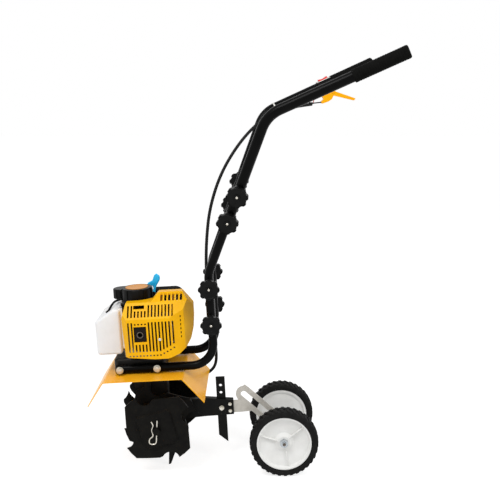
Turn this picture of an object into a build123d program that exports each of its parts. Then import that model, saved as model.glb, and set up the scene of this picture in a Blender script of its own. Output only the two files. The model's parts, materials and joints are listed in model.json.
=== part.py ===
import math
import os

from build123d import *

# Garden tiller. Sizes are in millimetres and degrees.
# The pieces are drawn level: +X to the operator, +Y to the machine's right, +Z up,
# with the middle of the tine shaft at the origin. They are then set down in the rest stance.

# Clearances
running_fit = 0.05
seat_gap = 0.3

# Wheels
wheel_radius = 89.0
tyre_width = 42.0
wheel_track = 206.0
wheel_disc_radius = 70.0
wheel_axle_setback = 322.0
wheel_axle_drop = 56.0
axle_radius = 6.0
axle_sleeve_radius = 8.0
rib_turn = 39.0
tread_lugs = 34
tread_depth = 3.0

# Tines
inner_tip_radius = 129.5
outer_tip_radius = 97.0
inner_tip_angle = 9.3
outer_tine_turn = 15.0
tooth_offset = 33.0
tine_square_half = 42.5
tine_thickness = 4.0
tine_boss_rise = 6.0
tine_boss_taper = 35.0
tine_flat_radius = 58.0
tine_dish = 14.0
inner_tine_offset = 64.0
outer_tine_offset = 118.0
tine_shaft_radius = 10.0
tine_hub_radius = 15.0
tine_shaft_half = 137.0
shaft_end_radius = 9.0
clip_wire_radius = 1.7
clip_lean = 6.0

# Worm drive
gear_module = 2.0
worm_wheel_teeth = 30
worm_pitch_radius = 11.0
worm_wheel_width = 14.0
worm_turns = 5.0
worm_shaft_radius = 7.0
tooth_backlash = 0.9

# Gearbox
gearbox_half_width = 23.0
gearbox_drum_radius = 44.0
gearbox_boss_radius = 23.0
gearbox_boss_half = 34.0
gearbox_wall = 7.0

# Guard
guard_top = 136.0
guard_thickness = 2.0
guard_half_width = 133.0
guard_front = -126.0
guard_rear = 73.0
front_flap_reach = 42.0
front_flap_drop = 61.0
rear_flap_reach = 53.0
rear_flap_drop = 65.0
guard_bend_radius = 8.0

# Clutch and engine
clutch_housing_length = 132.0
clutch_housing_height = 36.0
drum_radius = 39.0
drum_wall = 3.0
drum_height = 20.0
crank_radius = 7.5
crankcase_height = 88.0
crankcase_length = 78.0
crankcase_half_width = 46.0
cylinder_height = 222.0
cylinder_radius = 24.0
cylinder_length = 56.0
fin_count = 7
fin_thickness = 2.6
fin_height = 82.0
fin_half_width = 39.0
flywheel_radius = 38.0
flywheel_height = 26.0
fan_blades = 12
starter_radius = 41.0
starter_height = 48.0
cowl_radius = 44.5
cowl_height = 40.0
starter_notches = 8

# Shroud
shroud_side = 105.0
shroud_far = -26.0
shroud_wall = 2.5
post_radius = 5.0
shroud_bottom = 182.0
shroud_crease = 287.0
shoulder_rise = 36.0
hump_rise = 20.0
shroud_front = -73.0
shroud_rear = 107.0
slot_pitch = 8.6
slot_width = 4.2

# Muffler, fuel and air
muffler_length = 96.0
muffler_depth = 44.0
muffler_height = 90.0
tank_front = -146.0
tank_bottom = 187.0
tank_height = 119.0
tank_near = 66.0
tank_far = 80.0
tank_lobe_near = 5.0
tank_lobe_far = 14.0
tank_shoulder = 97.0
tank_shoulder_drop = 30.0
tank_wall = 3.0
cap_radius = 25.0
cap_height = 26.0
cap_x = -89.0
cap_y = 60.0
filler_height = 3.0
hose_radius = 3.0
filter_base_depth = 18.0
filter_cover_depth = 34.0
filter_length = 88.0
filter_height = 90.0
filter_inner_face = 75.0

# Handle tubes
tube_radius = 11.0
tube_wall = 1.6
bar_radius = 12.5
bar_wall = 1.6
lower_tube_offset = 70.0
lower_tube_rise = 13.5
lower_tube_front = -98.0
lower_tube_bend = 58.0
lower_tube_upright = 154.0
lower_tube_top = 384.0
lower_pivot_height = 264.0
lower_lock_spacing = 92.0
mid_tube_bend_height = 392.0
mid_tube_bend_radius = 60.0
mid_lean = 22.9
mid_splay = 15.0
upper_pivot_run = 164.4
upper_lock_spacing = 70.4
mid_tube_run = 264.0
tube_end_margin = 26.0
bar_corner_run = 436.6
bar_bend_radius = 80.0
bar_rise = 21.2
bar_splay = 10.8
bar_length = 337.0
grip_length = 132.0
grip_radius = 17.0

# Star knobs
knob_radius = 25.5
knob_thickness = 15.0
knob_lobes = 8
stud_radius = 4.0
nut_height = 6.5
notch_room = 3.6

# Throttle controls, measured along the right bar from its bend
switch_run = 191.0
clamp_length = 38.0
clamp_wall = 4.0
lever_pivot_run = 203.0
lever_pivot_drop = 29.0
lever_reach = 54.6
lever_fall = 42.7
lever_nose = 42.0

# Stake and wheel plate
bar_stock = 6.0
cheek_thickness = 5.0
stake_width = 24.0
stake_centre = 162.0
stake_top = 92.0
stake_tip = -91.0
stake_hole_pitch = 20.3
stake_bolt_height = 7.6
holder_rear = 194.0
plate_slot_width = 16.6
plate_rail = 13.0
plate_slot_top_x = 223.0
plate_slot_top_z = 41.0

# Fasteners and cable
bolt_radius = 4.0
flange_radius = 9.5
stake_flange_radius = 6.5
plate_bolt_radius = 2.5
plate_flange_radius = 4.6
cable_radius = 4.5
cable_loop_radius = 58.0

# Worked out from the sizes above
worm_wheel_radius = gear_module * worm_wheel_teeth / 2
crank_x = -(worm_pitch_radius + worm_wheel_radius)
worm_lead = math.pi * gear_module
gearbox_top = guard_top - guard_thickness
lower_tube_height = guard_top + lower_tube_rise
shroud_shoulder = shroud_crease + shoulder_rise
shroud_hump = shroud_shoulder + hump_rise
housing_top = guard_top + clutch_housing_height
housing_half_width = lower_tube_offset - tube_radius - seat_gap
crankcase_top = housing_top + crankcase_height
starter_base = crankcase_top + cowl_height
starter_top = starter_base + starter_height
tank_rear = crank_x - crankcase_length / 2
tank_top = tank_bottom + tank_height
mid_tube_offset = lower_tube_offset + 2 * tube_radius + seat_gap
lower_lock_height = lower_pivot_height + lower_lock_spacing
wheel_outer_face = wheel_track / 2 + tyre_width / 2
wheel_inner_face = wheel_track / 2 - tyre_width / 2

# The rest stance: lowest inner tine tip and both wheels on the ground
tip_drop = inner_tip_radius * math.cos(math.radians(inner_tip_angle))
stance_reach = math.hypot(wheel_axle_setback, wheel_axle_drop)
stance_angle = math.acos((tip_drop - wheel_radius) / stance_reach)
rest_lean = math.degrees(stance_angle - math.atan2(wheel_axle_setback, wheel_axle_drop))


# Building blocks
def block(x_span, y_span, z_span):
    low = (x_span[0], y_span[0], z_span[0])
    size = (x_span[1] - x_span[0], y_span[1] - y_span[0], z_span[1] - z_span[0])
    return Pos(*low) * Box(*size, align=(Align.MIN, Align.MIN, Align.MIN))


def rod(start, end, radius):
    run = Vector(*end) - Vector(*start)
    return extrude(Plane(origin=start, z_dir=run) * Circle(radius), amount=run.length)


def hexagon_rod(start, end, across_flats):
    run = Vector(*end) - Vector(*start)
    outline = RegularPolygon(across_flats / 2, 6, major_radius=False)
    return extrude(Plane(origin=start, z_dir=run) * outline, amount=run.length)


def side_face(y):
    return Plane.XZ.offset(-y)


def side_prism(outline, y_low, y_high):
    return extrude(side_face(y_high) * outline, amount=y_high - y_low)


def polygon(points):
    return make_face(Polyline(*points, close=True))


def rounded_polygon(points, radius):
    return make_face(FilletPolyline(*points, radius=radius, close=True))


def tube(points, radii, outer_radius, wall):
    path = FilletPolyline(*points, radius=radii)
    ring = Circle(outer_radius) - Circle(outer_radius - wall)
    return sweep(Plane(origin=path @ 0, z_dir=path % 0) * ring, path=path)


def wire_along(points, radii, radius):
    path = FilletPolyline(*points, radius=radii)
    return sweep(Plane(origin=path @ 0, z_dir=path % 0) * Circle(radius), path=path)


def easy_bends(points):
    radii = []
    for before, here, after in zip(points, points[1:], points[2:]):
        first = Vector(*here) - Vector(*before)
        second = Vector(*after) - Vector(*here)
        turn = math.radians(first.get_angle(second))
        radii.append(0.45 * min(first.length, second.length) / math.tan(turn / 2))
    return radii


def cord(name, points, radius):
    radii = easy_bends(points)
    path = FilletPolyline(*points, radius=radii)
    body = sweep(Plane(origin=path @ 0, z_dir=path % 0) * Circle(radius), path=path)
    section = math.pi * radius ** 2
    print(name, "length", round(path.length), "radii", [round(value) for value in radii])
    print(name, "volume over section times length", round(body.volume / (section * path.length), 4))
    return body


def mirrored(shape):
    return mirror(shape, about=Plane.XZ)


def at_side(shape, side):
    return shape if side < 0 else mirrored(shape)


def unit(x, y, z):
    return Vector(x, y, z).normalized()


# Handle geometry on the left side, mirrored for the right
mid_direction = unit(math.tan(math.radians(mid_lean)), -math.tan(math.radians(mid_splay)), 1)
joint_axis = (Vector(0, -1, 0) - mid_direction * Vector(0, -1, 0).dot(mid_direction)).normalized()
bar_direction = unit(1, -math.tan(math.radians(bar_splay)), math.tan(math.radians(bar_rise)))
mid_corner = Vector(lower_tube_upright, -mid_tube_offset, mid_tube_bend_height)
joint_stack = tube_radius + bar_radius + seat_gap
bar_corner = mid_corner + mid_direction * bar_corner_run + joint_axis * joint_stack
bar_end = bar_corner + bar_direction * bar_length
bar_start_run = upper_pivot_run - tube_end_margin
bar_start = mid_corner + mid_direction * bar_start_run + joint_axis * joint_stack
upper_pivot = mid_corner + mid_direction * upper_pivot_run
upper_lock = upper_pivot + mid_direction * upper_lock_spacing


# Guard
def make_guard():
    front_tip = (guard_front - front_flap_reach, guard_top - front_flap_drop)
    rear_tip = (guard_rear + rear_flap_reach, guard_top - rear_flap_drop)
    middle = guard_top - guard_thickness / 2
    front_bend = (guard_front, middle)
    rear_bend = (guard_rear, middle)
    spine = FilletPolyline(front_tip, front_bend, rear_bend, rear_tip, radius=guard_bend_radius)
    sheet = side_prism(trace(spine, guard_thickness), -guard_half_width, guard_half_width)
    opening = rod((crank_x, 0, 0), (crank_x, 0, 2 * guard_top), worm_shaft_radius + gearbox_wall)
    return sheet - opening


# Gearbox
def gearbox_body():
    column = polygon([
        (crank_x - gearbox_half_width, gearbox_top),
        (crank_x - gearbox_half_width, -gearbox_half_width),
        (0, -gearbox_drum_radius),
        (gearbox_drum_radius, 0),
        (gearbox_half_width, gearbox_drum_radius),
        (gearbox_half_width, gearbox_top),
    ])
    drum = rod((0, -gearbox_half_width, 0), (0, gearbox_half_width, 0), gearbox_drum_radius)
    drum = fillet(drum.edges().filter_by(GeomType.CIRCLE), gearbox_wall / 2)
    body = drum + side_prism(column, -gearbox_half_width, gearbox_half_width)
    body += rod((0, -gearbox_boss_half, 0), (0, gearbox_boss_half, 0), gearbox_boss_radius)
    flange_width = 2 * (gearbox_half_width + tine_thickness)
    flange = RectangleRounded(clutch_housing_length - 2 * gearbox_wall, flange_width, gearbox_wall)
    body += extrude(Pos(crank_x, 0, gearbox_top - gearbox_wall) * flange, amount=gearbox_wall)
    pad_x = (0, holder_front())
    body += block(pad_x, (-gearbox_half_width, gearbox_half_width), holder_pad_span())
    return body


def holder_front():
    return gearbox_drum_radius + gearbox_wall


def holder_pad_span():
    return (-gearbox_half_width, gearbox_half_width)


def worm_half_length():
    return worm_lead * worm_turns / 2


def gearbox_cavity():
    tip = worm_wheel_radius + gear_module + 2
    half = worm_wheel_width / 2 + 2
    space = rod((0, -half, 0), (0, half, 0), tip)
    worm_room = worm_pitch_radius + gear_module + 2
    reach = worm_half_length() + 2
    space += rod((crank_x, 0, -reach), (crank_x, 0, reach), worm_room)
    space += rod((0, -tine_shaft_half, 0), (0, tine_shaft_half, 0), bush_radius())
    space += rod((crank_x, 0, reach), (crank_x, 0, guard_top), worm_bush_radius())
    return space


def bush_radius():
    return tine_shaft_radius + gearbox_wall / 2


def worm_bush_radius():
    return worm_shaft_radius + gearbox_wall / 2


def make_gearbox(side):
    room = 2 * guard_top
    half = block((-room, room), sorted((0, side * room)), (-room, room))
    return (gearbox_body() - gearbox_cavity()) & half


def make_bearings():
    half = worm_wheel_width / 2 + 2
    bushes = []
    bore = rod((0, -tine_shaft_half, 0), (0, tine_shaft_half, 0), tine_shaft_radius + running_fit)
    for side in (-1, 1):
        bush = rod((0, side * half, 0), (0, side * gearbox_boss_half, 0), bush_radius())
        bushes.append(bush - bore)
    low = (crank_x, 0, worm_half_length() + 2)
    high = (crank_x, 0, guard_top)
    bushes.append(rod(low, high, worm_bush_radius()) - rod(low, high, worm_shaft_radius + running_fit))
    return Compound(children=bushes)


# Worm and worm wheel
def make_worm_wheel():
    lead_angle = math.degrees(math.atan2(worm_lead, 2 * math.pi * worm_pitch_radius))
    half = worm_wheel_width / 2
    root = worm_wheel_radius - 1.2 * gear_module
    tip = worm_wheel_radius + gear_module
    slope = math.tan(math.radians(20)) * gear_module
    pitch_half = worm_lead / 4 - tooth_backlash / 2
    tooth = polygon([
        (root - gear_module, -pitch_half - slope),
        (tip, -pitch_half + slope),
        (tip, pitch_half - slope),
        (root - gear_module, pitch_half + slope),
    ])
    solid_tooth = Rot(-lead_angle, 0, 0) * extrude(side_face(half) * tooth, amount=2 * half)
    wheel = rod((0, -half, 0), (0, half, 0), root)
    step = 360 / worm_wheel_teeth
    wheel += [Rot(0, (index + 0.5) * step, 0) * solid_tooth for index in range(worm_wheel_teeth)]
    return wheel - rod((0, -half, 0), (0, half, 0), tine_shaft_radius)


def make_worm_shaft():
    root = worm_pitch_radius - 1.2 * gear_module
    tip = worm_pitch_radius + gear_module
    half = worm_half_length()
    slope = math.tan(math.radians(20)) * gear_module
    pitch_half = worm_lead / 4 - tooth_backlash / 2
    thread_run = worm_lead * (worm_turns - 2)
    helix = Helix(worm_lead, thread_run, root, center=(0, 0, -thread_run / 2))
    profile = polygon([
        (root - 0.6, -pitch_half - slope),
        (tip, -pitch_half + slope),
        (tip, pitch_half - slope),
        (root - 0.6, pitch_half + slope),
    ])
    start = helix @ 0
    outward = (start.X, start.Y, 0)
    across = (start.Y, -start.X, 0)
    section = Plane(origin=(0, 0, start.Z), x_dir=outward, z_dir=across) * profile
    thread = sweep(section, path=helix, is_frenet=True)
    core = rod((0, 0, -half), (0, 0, half), root)
    phase = 360 * (thread_run / 2) / worm_lead
    worm = Rot(0, 0, -phase) * thread + core
    shaft = rod((0, 0, half), (0, 0, drum_floor()), worm_shaft_radius)
    return Pos(crank_x, 0, 0) * (worm + shaft)


# Clutch
def drum_floor():
    return guard_top + gearbox_wall


def make_clutch_housing():
    outline = RectangleRounded(clutch_housing_length, 2 * housing_half_width, gearbox_wall * 2)
    body = extrude(Pos(crank_x, 0, guard_top) * outline, amount=clutch_housing_height)
    body = chamfer(body.faces().sort_by(Axis.Z)[-1].edges(), gearbox_wall / 2)
    bell_top = housing_top - gearbox_wall
    bell = rod((crank_x, 0, drum_floor() - 1), (crank_x, 0, bell_top), drum_radius + 2)
    shaft_hole = rod((crank_x, 0, 0), (crank_x, 0, 2 * guard_top), crank_radius + 2)
    body -= bell + shaft_hole
    for x in tube_bolt_places():
        for side in (-1, 1):
            outside = side * lower_tube_offset
            inside = side * (housing_half_width - 12)
            body -= rod((x, outside, lower_tube_height), (x, inside, lower_tube_height), bolt_radius)
    return body


def make_clutch_drum():
    floor = drum_floor()
    top = floor + drum_height
    drum = rod((crank_x, 0, floor), (crank_x, 0, top), drum_radius)
    return drum - rod((crank_x, 0, floor + drum_wall), (crank_x, 0, top), drum_radius - drum_wall)


def make_clutch_shoes():
    shoe_low = drum_floor() + drum_wall + 2
    shoe_high = drum_floor() + drum_height - 2
    ring = Circle(drum_radius - drum_wall - 1.5) - Circle(crank_radius)
    gap = Rectangle(3 * drum_radius, 6)
    seat = Pos(crank_x, 0, shoe_low)
    shoes = [extrude(seat * face, amount=shoe_high - shoe_low) for face in (ring - gap).faces()]
    return Compound(children=shoes)


def make_crankshaft():
    low = drum_floor() + drum_wall + 1
    return rod((crank_x, 0, low), (crank_x, 0, flywheel_base() + flywheel_height + 4), crank_radius)


def make_crankcase():
    outline = RectangleRounded(crankcase_length, 2 * crankcase_half_width, gearbox_wall * 1.5)
    body = extrude(Pos(crank_x, 0, housing_top) * outline, amount=crankcase_height)
    bore = rod((crank_x, 0, housing_top), (crank_x, 0, crankcase_top), crank_radius + running_fit)
    return body - bore


def flywheel_base():
    return crankcase_top + 3


def make_flywheel():
    low = flywheel_base()
    disc_top = low + flywheel_height / 3
    wheel = rod((crank_x, 0, low), (crank_x, 0, disc_top), flywheel_radius)
    hub = rod((crank_x, 0, low), (crank_x, 0, low + flywheel_height), crank_radius * 2)
    blade_z = (disc_top - 1, low + flywheel_height)
    blade = block((crank_radius, flywheel_radius - 1), (-1.2, 1.2), blade_z)
    step = 360 / fan_blades
    turn = Pos(crank_x, 0, 0)
    wheel += [hub] + [turn * Rot(0, 0, index * step) * blade for index in range(fan_blades)]
    return wheel - rod((crank_x, 0, low), (crank_x, 0, starter_base), crank_radius)


# Cylinder, plug, muffler
def cylinder_front():
    return crank_x + crankcase_length / 2


def fin_middle(index):
    pitch = (cylinder_length - fin_thickness) / fin_count
    return cylinder_front() + index * pitch + fin_thickness / 2


def make_cylinder():
    front = cylinder_front()
    rear = front + cylinder_length
    body = rod((front, 0, cylinder_height), (rear, 0, cylinder_height), cylinder_radius)
    outline = RectangleRounded(2 * fin_half_width, fin_height, gearbox_wall)
    for index in range(1, fin_count + 1):
        place = (fin_middle(index) - fin_thickness / 2, 0, cylinder_height)
        fin_plane = Plane(origin=place, x_dir=(0, 1, 0), z_dir=(1, 0, 0))
        body += extrude(fin_plane * outline, amount=fin_thickness)
    plug_hole = rod((rear - 14, 0, cylinder_height), (rear, 0, cylinder_height), 6)
    return body - plug_hole


def make_spark_plug():
    rear = cylinder_front() + cylinder_length
    plug = rod((rear - 14, 0, cylinder_height), (rear, 0, cylinder_height), 6)
    plug += hexagon_rod((rear, 0, cylinder_height), (rear + 7, 0, cylinder_height), 19)
    plug += rod((rear + 7, 0, cylinder_height), (rear + 22, 0, cylinder_height), 8)
    return plug


def muffler_span():
    outer = -(shroud_side - shroud_wall - 4)
    return (outer, outer + muffler_depth)


def muffler_centre():
    return (0, shroud_crease + 4 - muffler_height / 2)


def make_muffler():
    near, far = muffler_span()
    x, z = muffler_centre()
    box = block(
        (x - muffler_length / 2, x + muffler_length / 2),
        (near, far),
        (z - muffler_height / 2, z + muffler_height / 2),
    )
    box = fillet(box.edges().filter_by(Axis.Y), 14)
    box = fillet(box.faces().sort_by(Axis.Y)[0].edges(), 6)
    outlet_x = x - muffler_length / 4 - 3
    box += rod((outlet_x, near, z), (outlet_x, near - 3, z), 8)
    box -= rod((outlet_x, near + 14, z), (outlet_x, near - 4, z), 5.5)
    port_x = cylinder_front() + cylinder_length / 2
    port_z = (cylinder_height - 14, cylinder_height + 14)
    box += block((port_x - 16, port_x + 16), (far, -fin_half_width), port_z)
    return box


# Shroud
def shroud_form(inset):
    bottom = shroud_bottom
    side_height = shroud_crease - bottom
    side = [
        (shroud_front + 6 + inset, bottom),
        (shroud_front + inset, shroud_crease),
        (shroud_front + 11 + inset, shroud_shoulder - inset),
        (2, shroud_shoulder - inset),
        (20, shroud_hump - inset),
        (shroud_rear - 26, shroud_hump - inset),
        (shroud_rear - inset, shroud_hump - 34),
        (shroud_rear - inset, bottom + 0.9 * side_height),
        (shroud_rear - 3 - inset, bottom + 0.59 * side_height),
        (shroud_rear - 9 - inset, bottom + 0.37 * side_height),
        (shroud_rear - 20 - inset, bottom + 0.22 * side_height),
        (shroud_rear - 38 - inset / 2, bottom + 0.08 * side_height + inset),
        (shroud_rear - 66 - inset, bottom + 0.4 * inset),
        (shroud_rear - 67 - inset, bottom),
    ]
    side_form = side_prism(polygon(side), -shroud_side + inset, shroud_far)
    top_view = [
        (shroud_front, -shroud_side + 14 + inset),
        (shroud_front + 14, -shroud_side + inset),
        (shroud_rear - 58 - inset, -shroud_side + inset),
        (shroud_rear - 22 - inset, -shroud_side + 16 + inset),
        (shroud_rear - inset, -shroud_side + 58 + inset),
        (shroud_rear - inset, shroud_far),
        (shroud_front, shroud_far),
    ]
    plan_form = extrude(Pos(0, 0, bottom - 1) * polygon(top_view), amount=shroud_hump)
    end_view = [
        (-shroud_side + inset, bottom - 1),
        (-shroud_side + inset, shroud_crease),
        (-shroud_side + 31 + inset, shroud_shoulder - inset),
        (-shroud_side + 56 + inset, shroud_hump - inset),
        (shroud_far, shroud_hump - inset),
        (shroud_far, bottom - 1),
    ]
    end_plane = Plane(origin=(shroud_front - 20, 0, 0), x_dir=(0, 1, 0), z_dir=(1, 0, 0))
    end_form = extrude(end_plane * polygon(end_view), amount=2 * shroud_rear)
    return side_form & plan_form & end_form


def shroud_slots():
    cuts = []
    outer = -shroud_side - 1
    wall = (outer, outer + 12)
    slant = (outer, outer + 34)
    low_band = (shroud_bottom + 20, shroud_crease - 8)
    high_band = (shroud_crease + 4, shroud_shoulder - 6)
    window_x = (-42, -10)
    window_z = (muffler_centre()[1] - 18, muffler_centre()[1] + 22)
    x = shroud_front + 16
    while x + slot_width < shroud_rear - 40:
        span = (x, x + slot_width)
        low = low_band[0] + max(0, 0.5 * (x - 20))
        cuts.append(block(span, wall, (low - 12, low - 8)))
        if window_x[0] - slot_width < x < window_x[1]:
            cuts.append(block(span, wall, (low, window_z[0] - 6)))
            cuts.append(block(span, wall, (window_z[1] + 4, window_z[1] + 4 + slot_width)))
            cuts.append(block(span, slant, (high_band[0], high_band[0] + 14)))
        else:
            cuts.append(block(span, wall, (low, low_band[1])))
            cuts.append(block(span, slant, high_band))
        x += slot_pitch
    cuts.append(block(window_x, wall, window_z))
    cuts.append(block((window_x[0], window_x[1] - 4), slant, (high_band[1] - 8, high_band[1])))
    hump = (-shroud_side + 30, -shroud_side + 52)
    for index in range(6):
        x = 26 + index * 10
        cuts.append(block((x, x + 6), hump, (shroud_shoulder + 1, shroud_hump + 1)))
    slit_x = (shroud_rear - 32, shroud_rear - 29.5)
    for index in range(6):
        z = shroud_crease - 55 + index * 10.5
        cuts.append(block(slit_x, (outer, outer + 18), (z, z + 6)))
    return cuts


def make_shroud():
    shell = shroud_form(0) - shroud_form(shroud_wall)
    shell -= rod((crank_x, 0, shroud_bottom), (crank_x, 0, 2 * shroud_hump), cowl_radius + 2)
    open_y = (-crankcase_half_width - 1, shroud_far + 1)
    shell -= block((shroud_front - 1, crank_x), open_y, (shroud_bottom, 2 * shroud_hump))
    fin_room = (-fin_half_width - 2, shroud_far + 1)
    fin_span = (cylinder_front(), cylinder_front() + cylinder_length + 2)
    shell -= block(fin_span, fin_room, (shroud_bottom, cylinder_height))
    low_edge = polygon([
        (shroud_front - 1, shroud_bottom - 1),
        (shroud_front - 1, shroud_bottom + 8),
        (8, shroud_bottom),
        (8, shroud_bottom - 1),
    ])
    shell -= side_prism(low_edge, -shroud_side - 1, shroud_far + 1)
    shell -= shroud_slots()
    post_top = shroud_hump - shroud_wall
    fin_top = cylinder_height + fin_height / 2
    post_y = shroud_far - post_radius
    for index in (3, 7):
        x = fin_middle(index)
        shell += rod((x, post_y, fin_top), (x, post_y, post_top + 1), post_radius)
    return max(shell.solids(), key=lambda solid: solid.volume)


# Starter
def make_starter_housing():
    cowl = rod((crank_x, 0, crankcase_top), (crank_x, 0, starter_base), cowl_radius)
    cowl -= rod((crank_x, 0, crankcase_top), (crank_x, 0, starter_base - 2), cowl_radius - 3)
    lid = rod((crank_x, 0, starter_base), (crank_x, 0, starter_top), starter_radius)
    lid = chamfer(lid.faces().sort_by(Axis.Z)[-1].edges(), 3)
    step = 360 / starter_notches
    notch_z = (starter_base + 14, starter_top + 1)
    notch = Pos(crank_x, 0, 0) * block((starter_radius - 3, starter_radius + 5), (-7, 7), notch_z)
    middle = Axis((crank_x, 0, 0), (0, 0, 1))
    lid -= [notch.rotate(middle, (index + 0.5) * step) for index in range(starter_notches)]
    return cowl + lid + starter_eyelet()


def starter_pull_height():
    return starter_base + 11


def starter_eyelet():
    z = starter_pull_height()
    return rod((crank_x, starter_radius - 8, z), (crank_x, starter_radius + 8, z), 7)


def make_starter_grip():
    z = starter_pull_height()
    face = starter_radius + 8
    stem = rod((crank_x, face, z), (crank_x, face + 8, z), 6)
    bar = RectangleRounded(42, 14, 6)
    bar_face = Plane(origin=(crank_x, face + 6, z), x_dir=(1, 0, 0), z_dir=(0, 1, 0))
    grip = extrude(bar_face * bar, amount=14)
    return stem + fillet(grip.faces().sort_by(Axis.Y)[-1].edges(), 4)


# Fuel
def tank_outline():
    return rounded_polygon([
        (tank_front, tank_bottom),
        (tank_front, tank_top - tank_shoulder_drop),
        (-tank_shoulder, tank_top),
        (tank_rear, tank_top),
        (tank_rear, tank_bottom),
    ], 9)


def tank_room():
    outline = offset(tank_outline(), amount=-tank_wall)
    room = side_prism(outline, -tank_near + tank_wall, tank_far - tank_wall)
    room -= rod((crank_x, 0, 0), (crank_x, 0, 2 * tank_top), cowl_radius + 1.5 + tank_wall)
    neck_low = (cap_x, cap_y, tank_top - tank_wall - 1)
    return room + rod(neck_low, (cap_x, cap_y, neck_top() + 1), neck_radius() - tank_wall)


def make_fuel_tank():
    tank = side_prism(tank_outline(), -tank_near, tank_far)
    tank = fillet(tank.faces().filter_by(Axis.Y).edges(), 7)
    beside = crankcase_half_width + 6
    lobe_z = (tank_bottom + 14, tank_top)
    tank += block((tank_rear - 20, tank_rear + tank_lobe_near), (-tank_near + 8, -beside), lobe_z)
    tank += block((tank_rear - 20, tank_rear + tank_lobe_far), (beside, tank_far - 8), lobe_z)
    tank -= rod((crank_x, 0, 0), (crank_x, 0, 2 * tank_top), cowl_radius + 1.5)
    hose_run = Vector(*hose_points()[1]) - Vector(*hose_points()[0])
    socket_end = tuple(Vector(*hose_points()[0]) + hose_run * 0.5)
    tank -= rod(hose_points()[0], socket_end, hose_radius + running_fit)
    tank += rod((cap_x, cap_y, tank_top - 14), (cap_x, cap_y, neck_top()), neck_radius())
    return tank - tank_room()


def neck_radius():
    return cap_radius - 8


def neck_top():
    return tank_top + filler_height + cap_height - 8


def make_fuel_cap():
    low = tank_top + filler_height
    cap = rod((cap_x, cap_y, low), (cap_x, cap_y, low + cap_height), cap_radius)
    cap = fillet(cap.faces().sort_by(Axis.Z)[-1].edges(), 3)
    recess_top = neck_top() + seat_gap
    recess = rod((cap_x, cap_y, low), (cap_x, cap_y, recess_top), neck_radius() + running_fit)
    flute = rod((cap_radius + 1, 0, low), (cap_radius + 1, 0, low + cap_height - 4), 2.5)
    cap -= [Pos(cap_x, cap_y, 0) * Rot(0, 0, index * 30) * flute for index in range(12)]
    return cap - recess


def hose_points():
    front = crank_x - cowl_radius - hose_radius - 5
    port_x = cylinder_front() + cylinder_length / 2 - 17
    return [
        (-tank_shoulder - 19, -44, tank_top - 15),
        (front - 12, -18, tank_top + 7),
        (front - 1, 10, tank_top + 8),
        (front + 9, 27, tank_top + 6),
        (crank_x - 33, 38, tank_top - 4),
        (crank_x - 19, 50, cylinder_height + 55),
        (crank_x + 7, 54, cylinder_height + 32),
        (port_x - 25, 57, cylinder_height + 14),
        (port_x - 13, 58, cylinder_height + 7),
        (port_x - 0.8, 58, cylinder_height + 4),
    ]


def make_fuel_line():
    return cord("fuel line", hose_points(), hose_radius)


# Air side
def make_carburettor():
    x = cylinder_front() + cylinder_length / 2
    z = cylinder_height
    near = fin_half_width
    flange = block((x - 20, x + 20), (near, near + 8), (z - 18, z + 18))
    body = block((x - 17, x + 17), (near + 8, filter_inner_face), (z - 17, z + 20))
    throttle_arm = rod((x, near + 20, z + 20), (x, near + 20, z + 30), 4)
    return flange + fillet(body.edges().filter_by(Axis.Y), 5) + throttle_arm


def filter_outline(inset):
    x = cylinder_front() + cylinder_length / 2 - 30
    z = cylinder_height + 98
    points = [
        (x - 12 + inset, z - filter_height + inset),
        (x - 12 + inset, z - inset),
        (x - 12 + filter_length - inset, z - inset),
        (x - 12 + filter_length - inset, z - filter_height + inset),
    ]
    return rounded_polygon(points, [8, 12, 26, 26])


def make_air_filter_base():
    base = side_prism(filter_outline(0), filter_inner_face, filter_inner_face + filter_base_depth)
    x, y, z = choke_pivot()
    return base - rod((x, y - 20, z), (x, y + 20, z), 3 + running_fit)


def make_air_filter_cover():
    near = filter_inner_face + filter_base_depth
    cover = side_prism(filter_outline(0), near, near + filter_cover_depth)
    cover = fillet(cover.faces().sort_by(Axis.Y)[-1].edges(), 9)
    inner = side_prism(filter_outline(3), near, near + filter_cover_depth - 4)
    return cover - inner


def choke_pivot():
    x = cylinder_front() + cylinder_length / 2 - 33
    return (x, filter_inner_face, cylinder_height + 88)


def make_choke_lever():
    x, y, z = choke_pivot()
    face = y - seat_gap
    outline = rounded_polygon([
        (x - 7, z - 8),
        (x - 6, z + 20),
        (x - 24, z + 22),
        (x - 22, z + 29),
        (x - 4, z + 35),
        (x + 2, z + 42),
        (x + 5, z + 53),
        (x + 10.5, z + 58),
        (x + 20, z + 50),
        (x + 19, z + 39),
        (x + 11.5, z + 22),
        (x + 7, z - 8),
    ], 2)
    lever = side_prism(outline, face - 7, face)
    return lever + rod((x, face - 1, z), (x, y + 10, z), 3)


# Handle tubes, left side
def lower_joint_places():
    return [(lower_tube_upright, lower_pivot_height), (lower_tube_upright, lower_lock_height)]


def make_lower_tube(side):
    y = -lower_tube_offset
    points = [
        (lower_tube_front, y, lower_tube_height),
        (lower_tube_upright, y, lower_tube_height),
        (lower_tube_upright, y, lower_tube_top),
    ]
    body = tube(points, lower_tube_bend, tube_radius, tube_wall)
    for x in tube_bolt_places():
        body -= rod((x, y - 2 * tube_radius, lower_tube_height), (x, 0, lower_tube_height), bolt_radius)
    for x, z in lower_joint_places():
        nut_face = y + tube_radius - 1
        nut = hexagon_rod((x, nut_face, z), (x, nut_face + 1 + nut_height, z), 13)
        body += nut - tube_bore()
        body -= rod((x, y - 2 * tube_radius, z), (x, 0, z), stud_radius + running_fit)
    return at_side(body, side)


def tube_bore():
    y = -lower_tube_offset
    return rod((lower_tube_upright, y, 0), (lower_tube_upright, y, lower_tube_top), tube_radius - tube_wall)


def tube_bolt_places():
    half = clutch_housing_length / 2 - 18
    return [crank_x - half, crank_x + half]


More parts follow.
